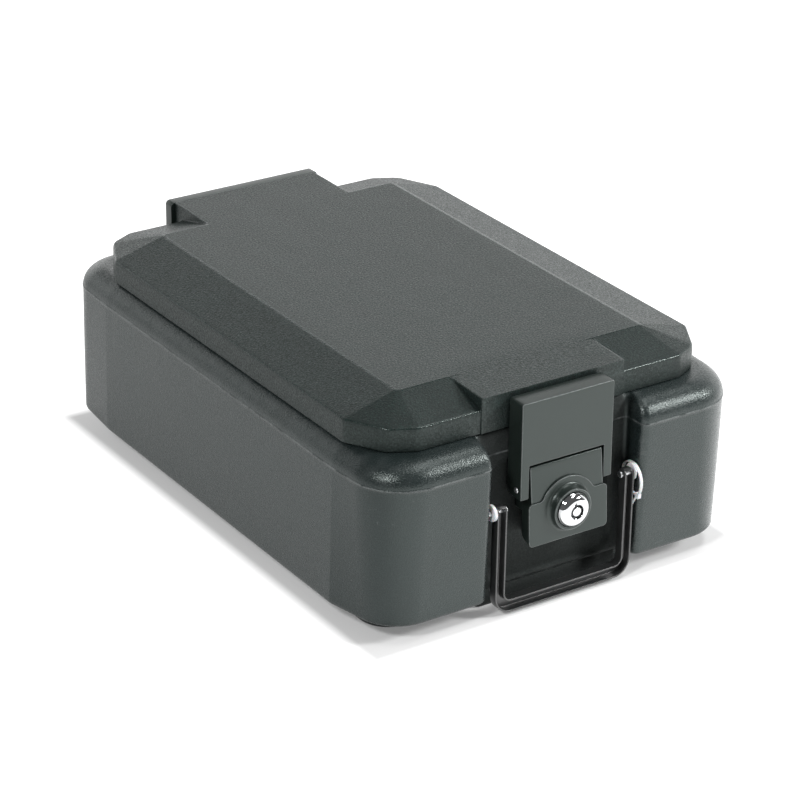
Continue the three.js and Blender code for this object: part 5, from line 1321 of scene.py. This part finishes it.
def bright_metal(name, colour, rough, brushed):
    """Plated metal: fine brushing and faint smudges."""
    f = Finish(name)
    lines = f.noise(1.0, 3.0, 0.6, f.stretched(5200, 500, 900))
    smudge = f.noise(230, 3.0, 0.6)
    base = f.tint(smudge.fade(0.3, 0.75), shade(colour, 1.0), shade(colour, 0.80))
    grade = rough + smudge.fade(0.45, 0.8) * 0.10 + lines * brushed
    normal = f.bump(lines, 0.00002, 0.3 * min(1.0, brushed * 6))
    return f.done(colour=base, roughness=grade, normal=normal, metal=1.0)


def milky_nylon(name, colour):
    """Natural nylon: milky, slightly clouded, with light passing into it."""
    f = Finish(name)
    cloud = f.noise(500, 3.0, 0.6)
    base = f.tint(cloud, shade(colour, 0.90), shade(colour, 1.0))
    normal = f.bump(f.noise(2600, 2.0, 0.5), 0.00004, 0.4)
    return f.done(
        colour=base, roughness=0.30 + cloud * 0.12, normal=normal, scatter=0.25, scatter_scale=0.001
    )


def cast_mineral(name, colour):
    """Cast mineral fill: open pores and soft blotches."""
    f = Finish(name)
    pores = f.cells(420).fade(0.10, 0.35)
    blotch = f.noise(60, 4.0, 0.6)
    base = f.tint((pores * 0.7 + blotch * 0.3).least(1.0), shade(colour, 0.55), shade(colour, 1.05))
    normal = f.bump(pores + f.noise(900, 3.0, 0.6) * 0.3, 0.0006, 0.6)
    return f.done(colour=base, roughness=0.86 + blotch * 0.1, normal=normal)


def foam_rubber(name, colour):
    """Matt foam rubber: fine closed cells."""
    f = Finish(name)
    pores = f.cells(1500).fade(0.15, 0.5)
    cloud = f.noise(150, 3.0, 0.6)
    base = f.tint(cloud, shade(colour, 0.8), shade(colour, 1.5))
    normal = f.bump(pores, 0.0002, 0.6)
    return f.done(colour=base, roughness=0.82 + cloud * 0.12, normal=normal, specular=0.3)


FINISHES = {}


def finish(key):
    """The named finish, made from the settings the first time it is asked for."""
    if key not in FINISHES:
        look = bpy.context.scene.document_box_look
        grain = bpy.context.scene.document_box_shape.grain_size
        makers = {
            "lid": lambda: grained_plastic("lid_grained_plastic", look.lid_colour, grain),
            "base": lambda: satin_plastic("base_satin_plastic", look.base_colour),
            "latch": lambda: latch_plastic("latch_satin_plastic", look.latch_colour),
            "plug": lambda: latch_plastic("plug_dark_plastic", shade(look.latch_colour, 0.7), True),
            "enamel": lambda: black_enamel("bail_black_enamel", look.enamel_colour),
            "steel": lambda: bright_metal("bright_zinc_steel", look.steel_colour, 0.26, 0.12),
            "chrome": lambda: bright_metal("polished_chrome", look.chrome_colour, 0.05, 0.02),
            "nylon": lambda: milky_nylon("milky_nylon", look.nylon_colour),
            "fill": lambda: cast_mineral("cast_mineral_fill", look.fill_colour),
            "seal": lambda: foam_rubber("seal_foam_rubber", look.seal_colour),
        }
        FINISHES[key] = makers[key]()
    return FINISHES[key]


def dress_packed(names, key):
    """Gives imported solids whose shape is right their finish, in every material slot."""
    for name in names:
        node = NODES[name]
        if not node.material_slots:
            node.data.materials.append(finish(key))
        for slot in node.material_slots:
            slot.material = finish(key)


# Settings


def length(name, description, default):
    return bpy.props.FloatProperty(
        name=name, description=description, default=default, min=0.0, unit="LENGTH", precision=4
    )


def colour(name, description, default):
    return bpy.props.FloatVectorProperty(
        name=name, description=description, default=default, size=3, subtype="COLOR", min=0.0, max=1.0
    )


def amount(name, description, default):
    return bpy.props.FloatProperty(name=name, description=description, default=default, min=0.0)


class DocumentBoxShape(bpy.types.PropertyGroup):
    """Sizes of rounded edges and grain"""

    foot_fillet: length("Foot fillet", "Radius round the underside of the base", 0.004)
    crown_round: length("Crown rounding", "How far the lid's crown edges are eased", 0.0017)
    lever_edge: length("Lever edge", "Rounding of the latch lever's front edges", 0.0008)
    block_edge: length("Block edge", "Rounding of the lock block's ends", 0.0008)
    cover_edge: length("Cover edge", "Rounding of the lock cover's rim", 0.0008)
    grain_size: length("Grain", "Width of one pebble of the lid's grain", 0.0011)


class DocumentBoxLook(bpy.types.PropertyGroup):
    """Colours of the finishes"""

    lid_colour: colour("Lid", "Grained plastic of the lid", (0.008, 0.013, 0.012))
    base_colour: colour("Base", "Satin plastic of the base", (0.013, 0.019, 0.019))
    latch_colour: colour("Latch", "Plastic of lever, cover and hinge", (0.011, 0.016, 0.014))
    enamel_colour: colour("Bail", "Enamel of the bail", (0.016, 0.017, 0.017))
    steel_colour: colour("Steel", "Plated pins and screws", (0.62, 0.63, 0.64))
    chrome_colour: colour("Chrome", "Plated face and plug of the lock", (0.64, 0.65, 0.66))
    nylon_colour: colour("Cable tie", "Nylon of the cable tie", (0.82, 0.84, 0.85))
    fill_colour: colour("Fill", "Mineral fill inside the walls", (0.58, 0.55, 0.50))
    seal_colour: colour("Seal", "Rubber seal under the lid", (0.012, 0.012, 0.013))


class DocumentBoxStage(bpy.types.PropertyGroup):
    """Light and floor of the studio"""

    floor_colour: colour("Floor", "Colour of the floor", (0.62, 0.62, 0.62))
    floor_lift: amount("Floor lift", "How much the open floor is lifted towards white", 0.80)
    room_level: amount("Room", "Light from the room on all sides", 0.14)
    backdrop_level: amount("Backdrop", "Light from the backdrop behind the box", 1.85)
    top_watts: amount("Top light", "Power of the large lamp above", 9.0)
    front_watts: amount("Front light", "Power of the lamp in front at the right", 38.0)
    left_watts: amount("Left light", "Power of the lamp at the left", 1.2)
    corner_watts: amount("Corner light", "Power of the lamp at the front left", 17.0)


# Operators


class DOCUMENT_BOX_OT_base(bpy.types.Operator):
    """Base moulding with its foot and room"""

    bl_idname = "document_box.base"
    bl_label = "Base moulding"

    def execute(self, context):
        shape = context.scene.document_box_shape
        piece("base_moulding", base_skin(shape.foot_fillet * PER_METRE), "base", "base", ["base_shell"])
        piece("base_foot", foot_skin(), "base", "base", ["base_shell"])
        return {"FINISHED"}


class DOCUMENT_BOX_OT_lid(bpy.types.Operator):
    """Lid moulding with its bevels, tongues and locating ring"""

    bl_idname = "document_box.lid"
    bl_label = "Lid moulding"

    def execute(self, context):
        shape = context.scene.document_box_shape
        weld(piece("lid_moulding", lid_skin(shape.crown_round * PER_METRE), "lid", "lid", ["lid_shell"]))
        return {"FINISHED"}


class DOCUMENT_BOX_OT_latch(bpy.types.Operator):
    """Latch lever with its hook and pin"""

    bl_idname = "document_box.latch"
    bl_label = "Latch lever"

    def execute(self, context):
        shape = context.scene.document_box_shape
        piece("lever_moulding", lever_skin(shape.lever_edge * PER_METRE), "latch", "latch", ["latch_lever"])
        reach = LEVER_HALF_WIDTH + LEVER_PIN_PROUD
        rod = pin_skin(-reach, reach, LEVER_PIN_RADIUS, PIN_Y, PIN_Z, LEVER_PIN_DOME)
        piece("lever_rod", rod, "base", "steel", ["latch_pin"])
        return {"FINISHED"}


class DOCUMENT_BOX_OT_lock(bpy.types.Operator):
    """Lock block, cover, chrome head and plug"""

    bl_idname = "document_box.lock"
    bl_label = "Lock"

    def execute(self, context):
        shape = context.scene.document_box_shape
        piece("lock_block", block_skin(shape.block_edge * PER_METRE), "base", "latch", ["lock_housing"])
        piece("cover_moulding", cover_skin(shape.cover_edge * PER_METRE), "base", "latch", ["lock_cover"])
        piece("lock_head", lock_body_skin(), "base", "chrome", ["lock_body"])
        piece("lock_core", lock_plug_skin(), "lock", "chrome", ["lock_plug"])
        return {"FINISHED"}


class DOCUMENT_BOX_OT_bail(bpy.types.Operator):
    """Bail handle of folded sheet with its two pins"""

    bl_idname = "document_box.bail"
    bl_label = "Bail handle"

    def execute(self, context):
        piece("bail_channel", bail_skin(), "bail", "enamel", ["bail_handle"])
        inner = BAIL_HALF_WIDTH - BAIL_ARM
        hole = BAIL_PIN_RADIUS + WASHER_PLAY
        for name, side in (("left", -1), ("right", 1)):
            node = [f"bail_pin_{name}"]
            ends = sorted((side * (inner - BAIL_PIN_INSIDE), side * (FRONT_RECESS + BAIL_PIN_OUTSIDE)))
            rod = pin_skin(*ends, BAIL_PIN_RADIUS, BAIL_Y, BAIL_Z, BAIL_PIN_DOME)
            piece(f"bail_rod_{name}", rod, "base", "steel", node)
            ends = sorted(side * (BAIL_HALF_WIDTH + away) for away in WASHER_SPANS[name])
            ring = washer_skin(*ends, hole, WASHER_RADIUS, BAIL_Y, BAIL_Z)
            piece(f"bail_ring_{name}", ring, "base", "nylon", [f"bail_washer_{name}"])
            ends = sorted(side * (inner - away) for away in BAIL_CAP_SPAN)
            cap = pin_skin(*ends, BAIL_CAP_RADIUS, BAIL_Y, BAIL_Z, BAIL_CAP_DOME)
            piece(f"bail_cap_{name}", cap, "base", "steel", node)
        return {"FINISHED"}


class DOCUMENT_BOX_OT_tie(bpy.types.Operator):
    """Cable tie on the right bail pin"""

    bl_idname = "document_box.tie"
    bl_label = "Cable tie"

    def execute(self, context):
        piece("tie_strap", tie_skin(), "base", "nylon", ["cable_tie"])
        return {"FINISHED"}


class DOCUMENT_BOX_OT_hinge(bpy.types.Operator):
    """Hinge leaf on the lid and bracket on the base"""

    bl_idname = "document_box.hinge"
    bl_label = "Hinge"

    def execute(self, context):
        piece("hinge_leaf", hinge_leaf_skin(), "lid", "latch", ["hinge_plate"])
        piece("hinge_carrier", hinge_bracket_skin(), "base", "latch", ["hinge_bracket"])
        return {"FINISHED"}


class DOCUMENT_BOX_OT_fittings(bpy.types.Operator):
    """Finishes of pins, screws, nut, seal, plugs and fill"""

    bl_idname = "document_box.fittings"
    bl_label = "Pins, screws, seal and fill"

    def execute(self, context):
        steel = ["hinge_rod", "lock_nut", "lock_cam", "cam_screw"]
        for prefix in ("bracket", "housing", "leaf"):
            steel += [f"{prefix}_screw_{i}" for i in range(1, 5)]
        dress_packed(steel, "steel")
        dress_packed(["lid_seal"], "seal")
        dress_packed(["base_fill_plug", "lid_fill_plug"], "plug")
        dress_packed(["base_fill", "lid_fill"], "fill")
        return {"FINISHED"}


def aimed(name, data, place, ahead, roll=0.0):
    """Object at a place, looking along a direction, turned about it by a roll in degrees."""
    ahead = np.array(ahead, float)
    ahead /= np.linalg.norm(ahead)
    level = np.cross(ahead, (0, 0, 1))
    level /= np.linalg.norm(level)
    above = np.cross(level, ahead)
    roll = math.radians(roll)
    right = math.cos(roll) * level + math.sin(roll) * above
    up = math.cos(roll) * above - math.sin(roll) * level
    turn = np.eye(4)
    turn[:3, 0], turn[:3, 1], turn[:3, 2], turn[:3, 3] = right, up, -ahead, place
    made = bpy.data.objects.new(name, data)
    bpy.context.scene.collection.objects.link(made)
    made.matrix_world = Matrix(turn.tolist())
    return made


def photo_camera():
    """Camera at the photograph's viewing point, turned by its aim and roll."""
    lens = bpy.data.cameras.new("photo_camera")
    lens.lens = CAMERA_LENS
    lens.sensor_width = 36.0
    lens.shift_x, lens.shift_y = CAMERA_SHIFT
    lens.clip_end = 60.0
    bpy.context.scene.camera = aimed("photo_camera", lens, CAMERA_EYE, CAMERA_AIM, CAMERA_ROLL)


def studio_world(stage):
    """White to the camera. To everything else it is a pale backdrop behind the box that
    ends at a third of the way up, and a dim room elsewhere."""
    world = bpy.data.worlds.new("studio_world")
    world.use_nodes = True
    n = Nodes(world.node_tree, "Generated")
    camera = n.ray("Is Camera Ray")
    behind = n.axis("X") * BACKDROP_WAY[0] + n.axis("Y") * BACKDROP_WAY[1]
    backdrop = behind.fade(*BACKDROP_EDGE) * (1 - n.axis("Z").fade(*BACKDROP_TOP))
    room = stage.room_level + backdrop * (stage.backdrop_level - stage.room_level)
    level = room * (1 - camera) + camera
    light = n.node("ShaderNodeBackground", None, {"Color": n.grey(level), "Strength": 1.0})
    n.node("ShaderNodeOutputWorld", None, {"Surface": light}, output=None)
    return world


def pale_floor(stage):
    """Pale matt floor. Away from the box it is lifted to white for the camera and for
    mirrors, and close to the box its shadow stays."""
    f = Finish("pale_floor")
    camera = f.ray("Is Camera Ray")
    mirror = f.ray("Is Glossy Ray").most(f.ray("Is Transmission Ray"))
    wide = (abs(f.axis("X")) - SHADED_HALF[0]).most(0.0)
    deep = (abs(f.axis("Y")) - SHADED_HALF[1]).most(0.0)
    away = (wide * wide + deep * deep) ** 0.5
    ahead = (f.axis("X") * 0.6 - f.axis("Y") * 0.8).fade(0.02, 0.18)
    lift = away.fade(-0.004, 0.013) * stage.floor_lift + SHADED_LIFT
    lift = lift * camera.most(mirror * (MIRROR_LEVEL + ahead * MIRROR_RISE))
    grain = f.noise(900, 2.0, 0.5)
    colour = f.tint(grain, shade(stage.floor_colour, 0.99), shade(stage.floor_colour, 1.01))
    return f.done(colour=colour, roughness=1.0, specular=0.0, glow=f.grey(lift), glow_strength=1.0)


def floor_sheet(stage):
    """Level square of small squares, just below the box."""
    line = np.linspace(-FLOOR_HALF, FLOOR_HALF, FLOOR_POINTS)
    points = [(x, y, FLOOR_Z) for x in line for y in line]
    corner, step = np.arange(FLOOR_POINTS - 1), FLOOR_POINTS
    a = (corner[:, None] * step + corner).ravel()
    faces = np.stack([a, a + step, a + step + 1, a + 1], -1).tolist()
    mesh = bpy.data.meshes.new("floor_sheet")
    mesh.from_pydata(points, [], faces)
    mesh.materials.append(pale_floor(stage))
    made = bpy.data.objects.new("floor_sheet", mesh)
    bpy.context.scene.collection.objects.link(made)


class DOCUMENT_BOX_OT_stage(bpy.types.Operator):
    """Floor, world, lamps and camera"""

    bl_idname = "document_box.stage"
    bl_label = "Studio"

    def execute(self, context):
        scene = context.scene
        stage = scene.document_box_stage
        scene.view_settings.view_transform = "Standard"
        scene.world = studio_world(stage)
        floor_sheet(stage)
        for name, (watts, size, place, height) in LAMPS.items():
            lamp = bpy.data.lights.new(name, "AREA")
            lamp.shape = "RECTANGLE"
            lamp.size, lamp.size_y = size
            lamp.energy = getattr(stage, watts)
            aimed(name, lamp, place, np.array([0, 0, height]) - place)
        photo_camera()
        return {"FINISHED"}


OPERATORS = (
    DOCUMENT_BOX_OT_base,
    DOCUMENT_BOX_OT_lid,
    DOCUMENT_BOX_OT_latch,
    DOCUMENT_BOX_OT_lock,
    DOCUMENT_BOX_OT_bail,
    DOCUMENT_BOX_OT_tie,
    DOCUMENT_BOX_OT_hinge,
    DOCUMENT_BOX_OT_fittings,
    DOCUMENT_BOX_OT_stage,
)


class DOCUMENT_BOX_PT_panel(bpy.types.Panel):
    """Pieces and settings of the document box"""

    bl_idname = "DOCUMENT_BOX_PT_panel"
    bl_label = "Document box"
    bl_space_type = "VIEW_3D"
    bl_region_type = "UI"
    bl_category = "Document box"

    def draw(self, context):
        column = self.layout.column(align=True)
        for operator in OPERATORS:
            column.operator(operator.bl_idname)
        for key in ("document_box_shape", "document_box_look", "document_box_stage"):
            group = getattr(context.scene, key)
            box = self.layout.box()
            for name in group.__annotations__:
                box.prop(group, name)


GROUPS = {
    "document_box_shape": DocumentBoxShape,
    "document_box_look": DocumentBoxLook,
    "document_box_stage": DocumentBoxStage,
}


def register():
    for kind in (*GROUPS.values(), *OPERATORS, DOCUMENT_BOX_PT_panel):
        bpy.utils.register_class(kind)
    for key, kind in GROUPS.items():
        setattr(bpy.types.Scene, key, bpy.props.PointerProperty(type=kind))


def unregister():
    for key in GROUPS:
        delattr(bpy.types.Scene, key)
    for kind in reversed((*GROUPS.values(), *OPERATORS, DOCUMENT_BOX_PT_panel)):
        bpy.utils.unregister_class(kind)


def main():
    """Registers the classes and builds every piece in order."""
    register()
    for operator in OPERATORS:
        getattr(bpy.ops.document_box, operator.bl_idname.split(".")[1])()


if __name__ == "__main__":
    main()
